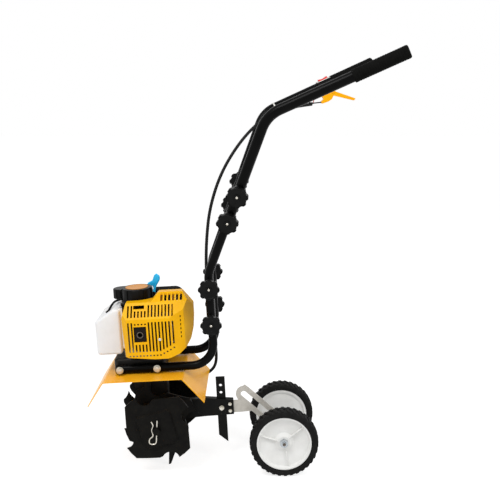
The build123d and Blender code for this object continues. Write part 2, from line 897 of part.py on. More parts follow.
def make_mid_tube(side):
    y = -mid_tube_offset
    foot = (lower_tube_upright, y, lower_pivot_height - tube_end_margin)
    head = mid_corner + mid_direction * mid_tube_run
    body = tube([foot, mid_corner, head], mid_tube_bend_radius, tube_radius, tube_wall)
    hole = stud_radius + running_fit
    x = lower_tube_upright
    body -= rod((x, y - 20, lower_pivot_height), (x, y + 20, lower_pivot_height), hole)
    z = lower_lock_height
    notch = block((x - 2 * tube_radius, x), (y - 20, y + 20), (z - hole - notch_room, z + hole + 0.4))
    body -= notch
    body -= rod((x, y - 20, z), (x, y + 20, z), hole + 0.4)
    inner = tube_radius - tube_wall
    for place in (upper_pivot, upper_lock):
        face = place - joint_axis * (tube_radius - 1)
        back = face - joint_axis * (1 + nut_height)
        nut = hexagon_rod(tuple(face), tuple(back), 13)
        nut -= rod(tuple(place - mid_direction * 30), tuple(place + mid_direction * 30), inner)
        body += nut
        body -= rod(tuple(place + joint_axis * 20), tuple(place - joint_axis * 30), hole)
    return at_side(body, side)


def make_handlebar(side):
    body = tube([bar_start, bar_corner, bar_end], bar_bend_radius, bar_radius, bar_wall)
    hole = stud_radius + running_fit
    pivot = upper_pivot + joint_axis * joint_stack
    lock = upper_lock + joint_axis * joint_stack
    body -= rod(tuple(pivot - joint_axis * 20), tuple(pivot + joint_axis * 20), hole)
    body -= rod(tuple(lock - joint_axis * 20), tuple(lock + joint_axis * 20), hole + 0.4)
    height = 2 * hole + notch_room + 0.4
    slot = Rectangle(2 * tube_radius + 8, height, align=(Align.MIN, Align.MIN))
    corner = lock - joint_axis * 20 + mid_direction * (hole + 0.4)
    cut_plane = Plane(origin=tuple(corner), x_dir=tuple(forward_of_bar()), z_dir=tuple(joint_axis))
    body -= extrude(cut_plane * slot, amount=40)
    return at_side(body, side)


def forward_of_bar():
    forward = mid_direction.cross(joint_axis).normalized()
    return forward if forward.X < 0 else forward * -1


def make_grip(side):
    start = bar_end - bar_direction * (grip_length - 6)
    end = bar_end + bar_direction * 6
    body = rod(tuple(start), tuple(end), grip_radius)
    body = fillet(body.edges().filter_by(GeomType.CIRCLE), 2.5)
    body -= rod(tuple(start), tuple(bar_end), bar_radius)
    return at_side(body, side)


# Star knobs
def knob_form():
    lobe_ring = knob_radius * 0.78
    lobe = knob_radius - lobe_ring
    outline = Circle(lobe_ring)
    for index in range(knob_lobes):
        outline += Rot(0, 0, index * 360 / knob_lobes) * Pos(lobe_ring, 0) * Circle(lobe)
    star = extrude(outline, amount=knob_thickness - 4)
    star += extrude(Circle(lobe_ring), amount=knob_thickness)
    return star


def knob(place, axis, inside, outside):
    seat = place + axis * outside
    body = Plane(origin=tuple(seat), z_dir=tuple(axis)) * knob_form()
    tip = place - axis * inside
    return body + rod(tuple(tip), tuple(seat + axis * (knob_thickness + 2)), stud_radius)


def make_lower_knob(height, side):
    place = Vector(lower_tube_upright, -mid_tube_offset, height)
    inside = 3 * tube_radius + seat_gap + nut_height
    return at_side(knob(place, Vector(0, -1, 0), inside, tube_radius + seat_gap), side)


def make_upper_knob(place, side):
    inside = tube_radius + nut_height
    return at_side(knob(place, joint_axis, inside, joint_stack + bar_radius + seat_gap), side)


# Throttle clamp, lever and switch on the right bar, drawn on the left and mirrored
def bar_plane(run, drop):
    down = (Vector(0, 0, -1) - bar_direction * Vector(0, 0, -1).dot(bar_direction)).normalized()
    place = bar_corner + bar_direction * run + down * drop
    return Plane(origin=tuple(place), x_dir=tuple(bar_direction), z_dir=tuple(bar_direction.cross(down)))


def make_control_clamp():
    plane = bar_plane(switch_run, 0)
    outer = bar_radius + clamp_wall
    sleeve = Rot(0, 90, 0) * Pos(0, 0, -clamp_length / 2) * extrude(Circle(outer), amount=clamp_length)
    seat = block((-20, 20), (-outer - 3, 0), (-10, 10))
    ear_run = lever_pivot_run - switch_run
    ears = block((-14, ear_run + 6), (0, lever_pivot_drop + 6), (-8, 8))
    channel = block((-30, ear_run + 20), (bar_radius + clamp_wall, lever_pivot_drop + 20), (-5.3, 5.3))
    bore = Rot(0, 90, 0) * Pos(0, 0, -100) * extrude(Circle(bar_radius), amount=200)
    well = block((-14, 14), (-outer - 4, -outer + 2), (-7, 7))
    pin_hole = Pos(ear_run, lever_pivot_drop, -20) * extrude(Circle(2.5 + running_fit), amount=40)
    rocker_hole = Pos(0, -rocker_pivot_rise(), -20) * extrude(Circle(1.2 + running_fit), amount=40)
    body = sleeve + seat + ears - channel - bore - well - pin_hole - rocker_hole
    return mirrored(plane * body)


def make_throttle_lever():
    plane = bar_plane(lever_pivot_run, lever_pivot_drop)
    outline = rounded_polygon([
        (9 - lever_nose, -5),
        (11 - lever_nose, 7),
        (-lever_nose, 11),
        (2.5 - lever_nose, 17),
        (20 - lever_nose, 18.5),
        (-9.6, 16.5),
        (-1, 9),
        (lever_reach - 6, lever_fall + 3.5),
        (lever_reach, lever_fall),
        (8, 1),
        (6, -5),
    ], 1.2)
    body = Pos(0, 0, -5) * extrude(outline, amount=10)
    body += Pos(0, 0, -8) * extrude(Circle(2.5), amount=16)
    return mirrored(plane * body)


def rocker_pivot_rise():
    return bar_radius + clamp_wall + 0.8


def make_switch_rocker():
    plane = bar_plane(switch_run, -rocker_pivot_rise())
    outline = polygon([(-12, -1), (-6, 1.8), (6, 1.8), (12, -2.5), (11.5, -8), (0, -4), (-11.5, -5)])
    body = Pos(0, 0, -6.5) * extrude(outline, amount=13)
    body += Pos(0, 0, -9.5) * extrude(Circle(1.2), amount=19)
    return mirrored(plane * body)


# Stake holder, stake and wheel plate
def make_stake_holder():
    front = holder_front()
    half_gap = bar_stock / 2 + 0.15
    half = half_gap + cheek_thickness
    flange_low, flange_high = holder_pad_span()
    flange = block((front, front + 8), (-gearbox_half_width, gearbox_half_width), (flange_low, flange_high))
    outline = polygon([
        (front, -18),
        (front, 34),
        (118, 37),
        (holder_rear, 29),
        (holder_rear, -12),
        (118, -14),
    ])
    body = flange + side_prism(outline, -half, half)
    gap_front = stake_centre - stake_width / 2 - 0.2
    body -= block((gap_front, holder_rear + 1), (-half_gap, half_gap), (-60, 60))
    for x, z, shank, _ in holder_bolts():
        body -= rod((x, -40, z), (x, 40, z), shank + running_fit)
    return body


def holder_bolts():
    plate_x = holder_rear - 9.5
    return [
        (stake_centre, stake_bolt_height, bolt_radius, stake_flange_radius),
        (plate_x, stake_bolt_height + 9.4, plate_bolt_radius, plate_flange_radius),
        (plate_x, stake_bolt_height - 9.6, plate_bolt_radius, plate_flange_radius),
    ]


def make_drag_stake():
    left = stake_centre - stake_width / 2
    right = stake_centre + stake_width / 2
    outline = polygon([(left, stake_tip + 21), (right, stake_tip), (right, stake_top), (left, stake_top)])
    body = side_prism(outline, -bar_stock / 2, bar_stock / 2)
    for index in range(4):
        z = stake_bolt_height + index * stake_hole_pitch
        body -= rod((stake_centre, -20, z), (stake_centre, 20, z), bolt_radius + running_fit)
    return body


def slot_direction():
    run = Vector(wheel_axle_setback - plate_slot_top_x, 0, -wheel_axle_drop - plate_slot_top_z)
    return run.normalized()


def slot_length():
    return math.hypot(wheel_axle_setback - plate_slot_top_x, wheel_axle_drop + plate_slot_top_z)


def make_wheel_plate():
    front = stake_centre + stake_width / 2 + 0.3
    half = plate_slot_width / 2 + plate_rail
    angle = math.degrees(math.atan2(slot_direction().Z, slot_direction().X))
    length = slot_length()
    middle_x = (plate_slot_top_x + wheel_axle_setback) / 2
    middle_z = (plate_slot_top_z - wheel_axle_drop) / 2
    rail = Pos(middle_x, middle_z) * Rot(0, 0, angle) * SlotCenterToCenter(length, 2 * half)
    slot = Pos(middle_x, middle_z) * Rot(0, 0, angle) * SlotCenterToCenter(length, plate_slot_width)
    neck = polygon([
        (front, 24),
        (206, 24),
        (plate_slot_top_x - 16, plate_slot_top_z + 10),
        (plate_slot_top_x + 4, plate_slot_top_z + 25),
        (plate_slot_top_x + 20, plate_slot_top_z + 10),
        (plate_slot_top_x + 28, plate_slot_top_z - 48),
        (206, -9),
        (front, -9),
    ])
    body = side_prism(rail + neck - slot, -bar_stock / 2, bar_stock / 2)
    for x, z, shank, _ in holder_bolts()[1:]:
        body -= rod((x, -20, z), (x, 20, z), shank + running_fit)
    return body


# Fasteners
def flange_bolt(head, tip, shank, flange):
    away = (Vector(*head) - Vector(*tip)).normalized()
    flange_end = Vector(*head) + away * shank / 2
    body = rod(tip, head, shank - running_fit)
    body += rod(head, tuple(flange_end), flange)
    return body + hexagon_rod(tuple(flange_end), tuple(flange_end + away * shank * 1.5), 1.4 * flange)


def make_flange_bolts():
    bolts = []
    head_y = lower_tube_offset + tube_radius
    tip_y = housing_half_width - 12
    z = lower_tube_height
    for x in tube_bolt_places():
        for side in (-1, 1):
            head = (x, side * head_y, z)
            bolts.append(flange_bolt(head, (x, side * tip_y, z), bolt_radius, flange_radius))
    cheek = bar_stock / 2 + 0.15 + cheek_thickness
    for x, z, shank, flange in holder_bolts():
        body = flange_bolt((x, -cheek, z), (x, cheek + nut_height + 2, z), shank, flange)
        nut = hexagon_rod((x, cheek, z), (x, cheek + nut_height, z), 3.25 * shank)
        bolts.append(body)
        bolts.append(nut - rod((x, -40, z), (x, 40, z), shank))
    return Compound(children=bolts)


# Wheels
def make_wheel_axle():
    plate_face = bar_stock / 2 + seat_gap
    x = wheel_axle_setback
    z = -wheel_axle_drop
    axle = rod((x, -wheel_outer_face, z), (x, wheel_outer_face, z), axle_radius)
    for side in (-1, 1):
        sleeve_end = side * (wheel_inner_face - seat_gap)
        axle += rod((x, side * plate_face, z), (x, sleeve_end, z), axle_sleeve_radius)
        axle += rod((x, side * plate_face, z), (x, side * (plate_face + 4), z), plate_slot_width / 2 + 8)
    nuts = []
    for side in (-1, 1):
        low = (x, side * (wheel_outer_face - 12), z)
        high = (x, side * (wheel_outer_face - 3), z)
        nuts.append(hexagon_rod(low, high, 19) - rod(low, high, axle_radius))
    return Compound(children=[axle] + nuts)


def make_wheel_disc(side):
    half = tyre_width / 2 - 3
    hub_low = -tyre_width / 2
    hub_high = tyre_width / 2 - 12 - seat_gap
    profile = polygon([
        (axle_radius + running_fit, hub_low),
        (20, hub_low),
        (20, -1),
        (wheel_disc_radius - 7, 3),
        (wheel_disc_radius - 6, -half),
        (wheel_disc_radius, -half),
        (wheel_disc_radius, half),
        (wheel_disc_radius - 3, half),
        (wheel_disc_radius - 7, 8),
        (26, 4),
        (16, hub_high),
        (axle_radius + running_fit, hub_high),
    ])
    disc = revolve(Plane.XZ * profile, Axis.Z)
    rib = block((18, wheel_disc_radius - 6), (-1.3, 1.3), (2, 8.3))
    disc += [Rot(0, 0, rib_turn + index * 120) * rib for index in range(3)]
    return at_side(wheel_plane() * disc, side)


def wheel_plane():
    middle = (wheel_axle_setback, -wheel_track / 2, -wheel_axle_drop)
    return Plane(origin=middle, x_dir=(1, 0, 0), z_dir=(0, -1, 0))


def tread_ring(low, high, turn):
    valley = wheel_radius - tread_depth
    step = 360 / tread_lugs
    ring = Circle(valley)
    lug_width = 2 * math.pi * wheel_radius / tread_lugs * 0.6
    lug = Pos(valley - 3, 0) * Rectangle(tread_depth + 3, lug_width, align=(Align.MIN, Align.CENTER))
    for index in range(tread_lugs):
        ring += Rot(0, 0, index * step + turn) * lug
    ring = (ring & Circle(wheel_radius)) - Circle(wheel_disc_radius)
    return extrude(Pos(0, 0, low) * ring, amount=high - low)


def make_tyre(side):
    half = tyre_width / 2
    step = 360 / tread_lugs
    foot = -90 - rest_lean
    tyre = tread_ring(-half, 0, foot) + tread_ring(0, half, foot + step / 2)
    return at_side(wheel_plane() * tyre, side)


# Tines, drawn flat as four quarters, then dished. Each quarter has a straight edge,
# a round bite and a hooked tooth.
def tine_outline(tooth_radii):
    edges = []
    for index, tooth_radius in enumerate(tooth_radii):
        tip = math.sqrt(tooth_radius ** 2 - tooth_offset ** 2)
        blade = Polyline((66, -75), (78, -15), (76, -6))
        bite = ThreePointArc((76, -6), (68, 14), (81, tooth_offset - 2))
        hook = Polyline(
            (81, tooth_offset - 2), (tip, tooth_offset), (tip - 3, tooth_offset + 6), (85, 48), (75, 66),
        )
        edges.append(Rot(0, 0, index * 90) * (blade + bite + hook))
    return make_face(Curve() + edges)


def tine_boss(rise):
    sunk = tine_thickness - 1
    height = rise + sunk
    base = 2 * (tine_square_half + height * math.tan(math.radians(tine_boss_taper)))
    square = Pos(0, 0, -sunk) * RectangleRounded(base, base, 10)
    return extrude(square, amount=height, taper=tine_boss_taper)


def tine_form(tooth_radii, hub_length):
    reach = inner_tip_radius + tine_thickness
    fall = (reach - tine_flat_radius) * math.tan(math.radians(tine_dish))
    dish = revolve(Plane.XZ * polygon([
        (0, 0),
        (tine_flat_radius, 0),
        (reach, -fall),
        (reach, -fall - tine_thickness),
        (tine_flat_radius, -tine_thickness),
        (0, -tine_thickness),
    ]), Axis.Z)
    plate = extrude(tine_outline(tooth_radii), amount=-fall - 2 * tine_thickness) & dish
    body = plate + tine_boss(tine_boss_rise) - Pos(0, 0, -tine_thickness) * tine_boss(tine_boss_rise)
    hub_top = tine_boss_rise - tine_thickness / 2
    body += Pos(0, 0, hub_top) * extrude(Circle(tine_hub_radius), amount=-hub_length - hub_top)
    bore_length = hub_length + tine_boss_rise + 2
    return body - Pos(0, 0, -hub_length - 1) * extrude(Circle(tine_shaft_radius), amount=bore_length)


# The inner tines have two long teeth, on which the machine stands, and two short ones
def make_inner_tine(side):
    hub = inner_tine_offset - gearbox_boss_half - seat_gap
    tooth_angle = math.degrees(math.asin(tooth_offset / inner_tip_radius))
    teeth = [inner_tip_radius, outer_tip_radius] * 2
    body = Rot(0, 0, -90 + inner_tip_angle - rest_lean - tooth_angle) * tine_form(teeth, hub)
    return at_side(side_face(-inner_tine_offset) * body, side)


def make_outer_tine(side):
    hub = outer_tine_offset - inner_tine_offset - tine_boss_rise
    body = Rot(0, 0, -90 + outer_tine_turn - rest_lean) * tine_form([outer_tip_radius] * 4, hub)
    return at_side(side_face(-outer_tine_offset) * body, side)


def clip_offset():
    return outer_tine_offset + tine_boss_rise + clip_wire_radius + 1


def shaft_shoulder():
    return clip_offset() + clip_wire_radius + 1


def make_tine_shaft():
    shaft = rod((0, -shaft_shoulder(), 0), (0, shaft_shoulder(), 0), tine_shaft_radius)
    for side in (-1, 1):
        y = side * clip_offset()
        shaft -= Rot(0, clip_lean, 0) * rod((0, y, -20), (0, y, 20), clip_wire_radius + 0.1)
        shaft += rod((0, side * shaft_shoulder(), 0), (0, side * tine_shaft_half, 0), shaft_end_radius)
    return shaft


def make_hairpin_clips():
    outline = [(0, 27), (0, -37), (-18, -37), (-18, -23), (-7.5, -15), (-13.6, 1), (-8.5, 12.5), (-15, 23)]
    clips = []
    for side in (-1, 1):
        points = [(x, side * clip_offset(), z) for x, z in outline]
        clips.append(Rot(0, clip_lean, 0) * wire_along(points, easy_bends(points), clip_wire_radius))
    return Compound(children=clips)


# Throttle cable route, from the lever down the right handle and round to the carburettor.
# It is drawn on the left side and mirrored.
def below_bar(run, drop, inward):
    plane = bar_plane(run, drop)
    return tuple(plane.origin + joint_axis * -inward)


def before_tube(run, ahead, inward):
    return tuple(mid_corner + mid_direction * run + forward_of_bar() * ahead - joint_axis * inward)


def cable_points():
    tube_front = lower_tube_upright - tube_radius - cable_radius - seat_gap
    outside = -guard_half_width - cable_radius - 8
    port_x = cylinder_front() + cylinder_length / 2
    port_z = cylinder_height - 17
    loop_x = lower_tube_upright - 4 - cable_loop_radius
    loop_z = guard_top - 31
    sideways = [-mid_tube_offset - 28, outside + 10, outside, outside - 1, outside, outside - 1]
    loop = []
    for index, y in enumerate(sideways):
        turn = math.radians(-36 * index)
        ahead = cable_loop_radius * math.cos(turn)
        loop.append((loop_x + ahead, y, loop_z + cable_loop_radius * math.sin(turn)))
    return [
        below_bar(lever_pivot_run - lever_nose - 5, lever_pivot_drop + 12.5, 0),
        below_bar(switch_run - 73, bar_radius + cable_radius + 13, 0),
        below_bar(switch_run - 106, bar_radius + cable_radius + 5, 4),
        below_bar(50, bar_radius + cable_radius + 4, 11),
        below_bar(16, bar_radius, 22),
        before_tube(bar_corner_run * 0.85, 20, 2),
        before_tube(bar_corner_run * 0.68, 44, 2),
        before_tube(bar_corner_run * 0.50, 56, 2),
        before_tube(bar_corner_run * 0.30, 52, 2),
        before_tube(bar_corner_run * 0.125, 34, 2),
        (tube_front, -mid_tube_offset + 3, mid_tube_bend_height - 8),
        (tube_front, -mid_tube_offset + 4, lower_lock_height - 8),
        (tube_front - 0.2, -mid_tube_offset + 3, lower_pivot_height + 10),
        (tube_front - 0.4, -mid_tube_offset - 1, lower_pivot_height - 38),
        (lower_tube_upright - 6, -mid_tube_offset - 12, guard_top + 40),
        *loop,
        (port_x + 1, outside - 1, guard_top + 14),
        (port_x, outside + 11, guard_top + 52),
        (port_x, outside + 37, port_z + 5),
        (port_x, -filter_inner_face - 0.8, port_z + 10),
    ]


def make_throttle_cable():
    return mirrored(cord("throttle cable", cable_points(), cable_radius))


nodes = {
    "guard": make_guard(),
    "gearbox_left": make_gearbox(-1),
    "gearbox_right": make_gearbox(1),
    "bearings": make_bearings(),
    "worm_wheel": make_worm_wheel(),
    "worm_shaft": make_worm_shaft(),
    "clutch_housing": make_clutch_housing(),
    "clutch_drum": make_clutch_drum(),
    "clutch_shoes": make_clutch_shoes(),
    "crankshaft": make_crankshaft(),
    "crankcase": make_crankcase(),
    "flywheel": make_flywheel(),
    "cylinder": make_cylinder(),
    "spark_plug": make_spark_plug(),
    "muffler": make_muffler(),
    "shroud": make_shroud(),
    "starter_housing": make_starter_housing(),
    "starter_grip": make_starter_grip(),
    "fuel_tank": make_fuel_tank(),
    "fuel_cap": make_fuel_cap(),
    "fuel_line": make_fuel_line(),
    "carburettor": make_carburettor(),
    "air_filter_base": make_air_filter_base(),
    "air_filter_cover": make_air_filter_cover(),
    "choke_lever": make_choke_lever(),
    "control_clamp": make_control_clamp(),
    "throttle_lever": make_throttle_lever(),
    "switch_rocker": make_switch_rocker(),
    "throttle_cable": make_throttle_cable(),
    "stake_holder": make_stake_holder(),
    "drag_stake": make_drag_stake(),
    "wheel_plate": make_wheel_plate(),
    "flange_bolts": make_flange_bolts(),
    "wheel_axle": make_wheel_axle(),
    "tine_shaft": make_tine_shaft(),
    "hairpin_clips": make_hairpin_clips(),
}
for side, word in ((-1, "left"), (1, "right")):
    nodes[f"lower_tube_{word}"] = make_lower_tube(side)
    nodes[f"mid_tube_{word}"] = make_mid_tube(side)
    nodes[f"handlebar_{word}"] = make_handlebar(side)
    nodes[f"grip_{word}"] = make_grip(side)
    nodes[f"inner_tine_{word}"] = make_inner_tine(side)
    nodes[f"outer_tine_{word}"] = make_outer_tine(side)
    nodes[f"wheel_disc_{word}"] = make_wheel_disc(side)
    nodes[f"tyre_{word}"] = make_tyre(side)
    nodes[f"knob_lower_pivot_{word}"] = make_lower_knob(lower_pivot_height, side)
    nodes[f"knob_lower_lock_{word}"] = make_lower_knob(lower_lock_height, side)
    nodes[f"knob_upper_pivot_{word}"] = make_upper_knob(upper_pivot, side)
    nodes[f"knob_upper_lock_{word}"] = make_upper_knob(upper_lock, side)

# Set the machine down: lean it to its rest stance, then stand it on the ground about its middle
leaned = {name: Rot(0, -rest_lean, 0) * shape for name, shape in nodes.items()}
boxes = [shape.bounding_box() for shape in leaned.values()]
middle_x = (min(box.min.X for box in boxes) + max(box.max.X for box in boxes)) / 2
middle_y = (min(box.min.Y for box in boxes) + max(box.max.Y for box in boxes)) / 2
ground = min(box.min.Z for box in boxes)
stand = Pos(-middle_x, -middle_y, -ground)

os.makedirs("parts", exist_ok=True)
for name, shape in leaned.items():
    export_step(stand * shape, f"parts/{name}.step")
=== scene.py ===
import json
import math

import bpy
from mathutils import Matrix, Vector


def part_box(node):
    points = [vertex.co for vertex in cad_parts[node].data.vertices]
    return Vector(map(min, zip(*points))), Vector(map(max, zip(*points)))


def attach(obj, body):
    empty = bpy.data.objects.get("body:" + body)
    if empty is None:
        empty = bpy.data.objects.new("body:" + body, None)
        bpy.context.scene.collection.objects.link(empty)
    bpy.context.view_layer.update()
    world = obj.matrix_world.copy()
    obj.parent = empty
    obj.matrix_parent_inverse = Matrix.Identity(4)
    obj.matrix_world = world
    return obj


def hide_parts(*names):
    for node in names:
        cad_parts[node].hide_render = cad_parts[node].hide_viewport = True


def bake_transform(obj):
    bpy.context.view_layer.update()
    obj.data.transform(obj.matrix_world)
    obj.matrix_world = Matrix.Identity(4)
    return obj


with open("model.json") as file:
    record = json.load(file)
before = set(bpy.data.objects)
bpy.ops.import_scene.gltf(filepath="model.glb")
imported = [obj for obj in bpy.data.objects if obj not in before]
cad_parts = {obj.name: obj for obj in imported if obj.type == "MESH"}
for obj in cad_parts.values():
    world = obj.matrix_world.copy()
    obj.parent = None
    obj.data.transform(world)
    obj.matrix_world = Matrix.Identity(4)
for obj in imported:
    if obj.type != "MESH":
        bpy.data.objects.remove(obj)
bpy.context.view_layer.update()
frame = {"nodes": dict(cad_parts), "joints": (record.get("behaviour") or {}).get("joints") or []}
nodes = frame["nodes"]
joints = {joint["name"]: joint for joint in frame["joints"]}
sides = {"left": -1, "right": 1}
print("frame loaded:", len(nodes), "nodes")

# The machine leans back a little at rest, so pieces are placed in its own level axes:
# millimetres from the middle of the tine shaft, back, right and up, with side -1 for the left hand
tineMiddle = Vector(joints["tine_spin"]["pos_m"])
machineUp = Vector(joints["crank_spin"]["axis"])
machineRight = Vector((0, 1, 0))
machineBack = machineRight.cross(machineUp)


def fromMachine(x, y, z, side=1):
    return machineBack * x + machineRight * (side * y) + machineUp * z


def atMachine(x, y, z, side=1):
    return tineMiddle + fromMachine(x, y, z, side) / 1000


def alongMachine(x, y, z, side=1):
    return fromMachine(x, y, z, side).normalized()


# Upper bars: where each bends back to the operator, and its run and drop from there, right side
barSettings = {
    "corner": (316.7, 220.0, 777.2),
    "run": (0.91792, 0.17510, 0.35604),
    "drop": (0.34973, 0.06672, -0.93447),
}
barDown = alongMachine(*barSettings["drop"])


def barPoint(run, drop, side=1):
    parts = zip(barSettings["corner"], barSettings["run"], barSettings["drop"])
    x, y, z = (corner + along * run + down * drop for corner, along, down in parts)
    return atMachine(x, y, z, side)


def barAlong(side=1):
    return alongMachine(*barSettings["run"], side)


def wheelPoint(word, reach):
    axle = Vector(joints["wheel_spin_" + word]["pos_m"])
    return Vector((axle.x, sides[word] * reach / 1000, axle.z))


# Modelling helpers: sizes are in millimetres
smoothAngle = math.radians(35)
mergeDistance = 0.02


def metres(sizes):
    return [size / 1000 for size in sizes]


def addObject(name, data):
    piece = bpy.data.objects.new(name, data)
    bpy.context.scene.collection.objects.link(piece)
    return piece


def copyOf(piece, name):
    copy = piece.copy()
    copy.data = piece.data.copy()
    copy.name = name
    bpy.context.scene.collection.objects.link(copy)
    return copy


# Leaves edit mode too, so that a piece's own code needn't
def deselectAll():
    if bpy.context.object and bpy.context.object.mode != "OBJECT":
        bpy.ops.object.mode_set(mode="OBJECT")
    bpy.ops.object.select_all(action="DESELECT")


def activate(piece):
    deselectAll()
    piece.select_set(True)
    bpy.context.view_layer.objects.active = piece


def clearPicks(piece, kind):
    activate(piece)
    bpy.ops.object.mode_set(mode="EDIT")
    bpy.ops.mesh.select_mode(type=kind)
    bpy.ops.mesh.select_all(action="DESELECT")
    bpy.ops.object.mode_set(mode="OBJECT")


def pickFaces(piece, test):
    clearPicks(piece, "FACE")
    for face in piece.data.polygons:
        face.select = test(face)
    bpy.ops.object.mode_set(mode="EDIT")


def pickPoints(piece, test):
    clearPicks(piece, "VERT")
    for vertex in piece.data.vertices:
        vertex.select = test(vertex.co)
    bpy.ops.object.mode_set(mode="EDIT")


def facesUp(face):
    return face.normal.z > 0.9


def everyFace(face):
    return True


def insetTop(piece, thickness, depth=0.0):
    pickFaces(piece, facesUp)
    bpy.ops.mesh.inset(thickness=thickness / 1000, depth=depth / 1000)


def extrude(x, y, z):
    bpy.ops.mesh.extrude_region_move(TRANSFORM_OT_translate={"value": metres((x, y, z))})


def applyPlace(piece):
    activate(piece)
    bpy.ops.object.transform_apply(location=True, rotation=True, scale=True)


def shift(piece, x, y, z):
    piece.location = metres((x, y, z))
    applyPlace(piece)


def settle(piece, origin, axis):
    piece.rotation_mode = "QUATERNION"
    piece.rotation_quaternion = Vector(axis).to_track_quat("Z", "Y")
    piece.location = origin
    applyPlace(piece)


def orient(piece, origin, along, up):
    turn = Matrix((along, up.cross(along), up)).transposed().to_4x4()
    piece.matrix_world = Matrix.Translation(origin) @ turn
    applyPlace(piece)


def joinPieces(first, others):
    deselectAll()
    for piece in (first, *others):
        piece.select_set(True)
    bpy.context.view_layer.objects.active = first
    bpy.ops.object.join()
    return first


def combine(piece, tool, operation):
    activate(piece)
    change = piece.modifiers.new("combine", "BOOLEAN")
    change.operation = operation
    change.solver = "EXACT"
    change.object = tool
    bpy.ops.object.modifier_apply(modifier=change.name)
    bpy.data.objects.remove(tool)


def soften(piece, width, segments=2):
    activate(piece)
    bevel = piece.modifiers.new("edge", "BEVEL")
    bevel.width = width / 1000
    bevel.segments = segments
    bevel.limit_method = "ANGLE"
    bpy.ops.object.modifier_apply(modifier=bevel.name)


def disc(name, radius, depth, vertices, ends="NGON"):
    deselectAll()
    bpy.ops.mesh.primitive_cylinder_add(
        vertices=vertices, radius=radius / 1000, depth=depth / 1000, end_fill_type=ends)
    bpy.context.object.name = name
    return bpy.context.object


def ring(name, radius, thickness, depth, vertices=56):
    piece = disc(name, radius, depth, vertices, ends="NOTHING")
    wall = piece.modifiers.new("wall", "SOLIDIFY")
    wall.thickness = thickness / 1000
    wall.offset = 1
    bpy.ops.object.modifier_apply(modifier=wall.name)
    soften(piece, min(thickness, depth) / 5)
    return piece


def block(name, size):
    deselectAll()
    bpy.ops.mesh.primitive_cube_add(size=1)
    piece = bpy.context.object
    piece.name = name
    piece.scale = metres(size)
    applyPlace(piece)
    return piece


# A flat outline, its points already in place in metres, thickened across the machine
def plate(name, outline, thickness):
    mesh = bpy.data.meshes.new(name)
    mesh.from_pydata(outline, [], [list(range(len(outline)))])
    piece = addObject(name, mesh)
    pickFaces(piece, everyFace)
    extrude(0, thickness, 0)
    bpy.ops.mesh.select_all(action="SELECT")
    bpy.ops.mesh.normals_make_consistent(inside=False)
    return piece


# A profile turned all the way round an axis
def spun(name, points, edges, axis, steps):
    mesh = bpy.data.meshes.new(name)
    mesh.from_pydata([metres(point) for point in points], edges, [])
    piece = addObject(name, mesh)
    activate(piece)
    bpy.ops.object.mode_set(mode="EDIT")
    bpy.ops.mesh.select_all(action="SELECT")
    bpy.ops.mesh.spin(steps=steps, angle=2 * math.pi, center=(0, 0, 0), axis=axis)
    bpy.ops.mesh.select_all(action="SELECT")
    bpy.ops.mesh.remove_doubles(threshold=mergeDistance / 1000)
    bpy.ops.mesh.normals_make_consistent(inside=False)
    return piece


# Points of a profile, given as steps from one radius and run
def stepped(radius, run, steps):
    return [(radius + out, run + along) for out, along in steps]


# Camera, from the photograph's perspective: metres from the tine shaft and the floor
cameraSettings = {
    "aside": 0.237, "away": 2.122, "height": 0.955, "pitch": 10.24,
    "lens": 59.8, "sensor": 36.0,
}


def makeCamera():
    lens = bpy.data.cameras.new("photoCamera")
    lens.lens = cameraSettings["lens"]
    lens.sensor_width = cameraSettings["sensor"]
    camera = addObject("photoCamera", lens)
    aside = tineMiddle.x + cameraSettings["aside"]
    camera.location = (aside, -cameraSettings["away"], cameraSettings["height"])
    camera.rotation_euler = (math.radians(90 - cameraSettings["pitch"]), 0, 0)
    bpy.context.scene.camera = camera
    print("camera ready")


# Materials
def linear(hexText):
    values = [int(hexText[index:index + 2], 16) / 255 for index in (1, 3, 5)]
    return tuple(v / 12.92 if v <= 0.04045 else ((v + 0.055) / 1.055) ** 2.4 for v in values) + (1.0,)


def emptyTree(owner):
    owner.use_nodes = True
    owner.node_tree.nodes.clear()
    return owner.node_tree


def addNode(tree, kind, settings=None, sockets=None):
    node = tree.nodes.new(kind)
    for name, value in (settings or {}).items():
        setattr(node, name, value)
    for name, value in (sockets or {}).items():
        if isinstance(value, bpy.types.NodeSocket):
            tree.links.new(value, node.inputs[name])
        else:
            node.inputs[name].default_value = value
    return node


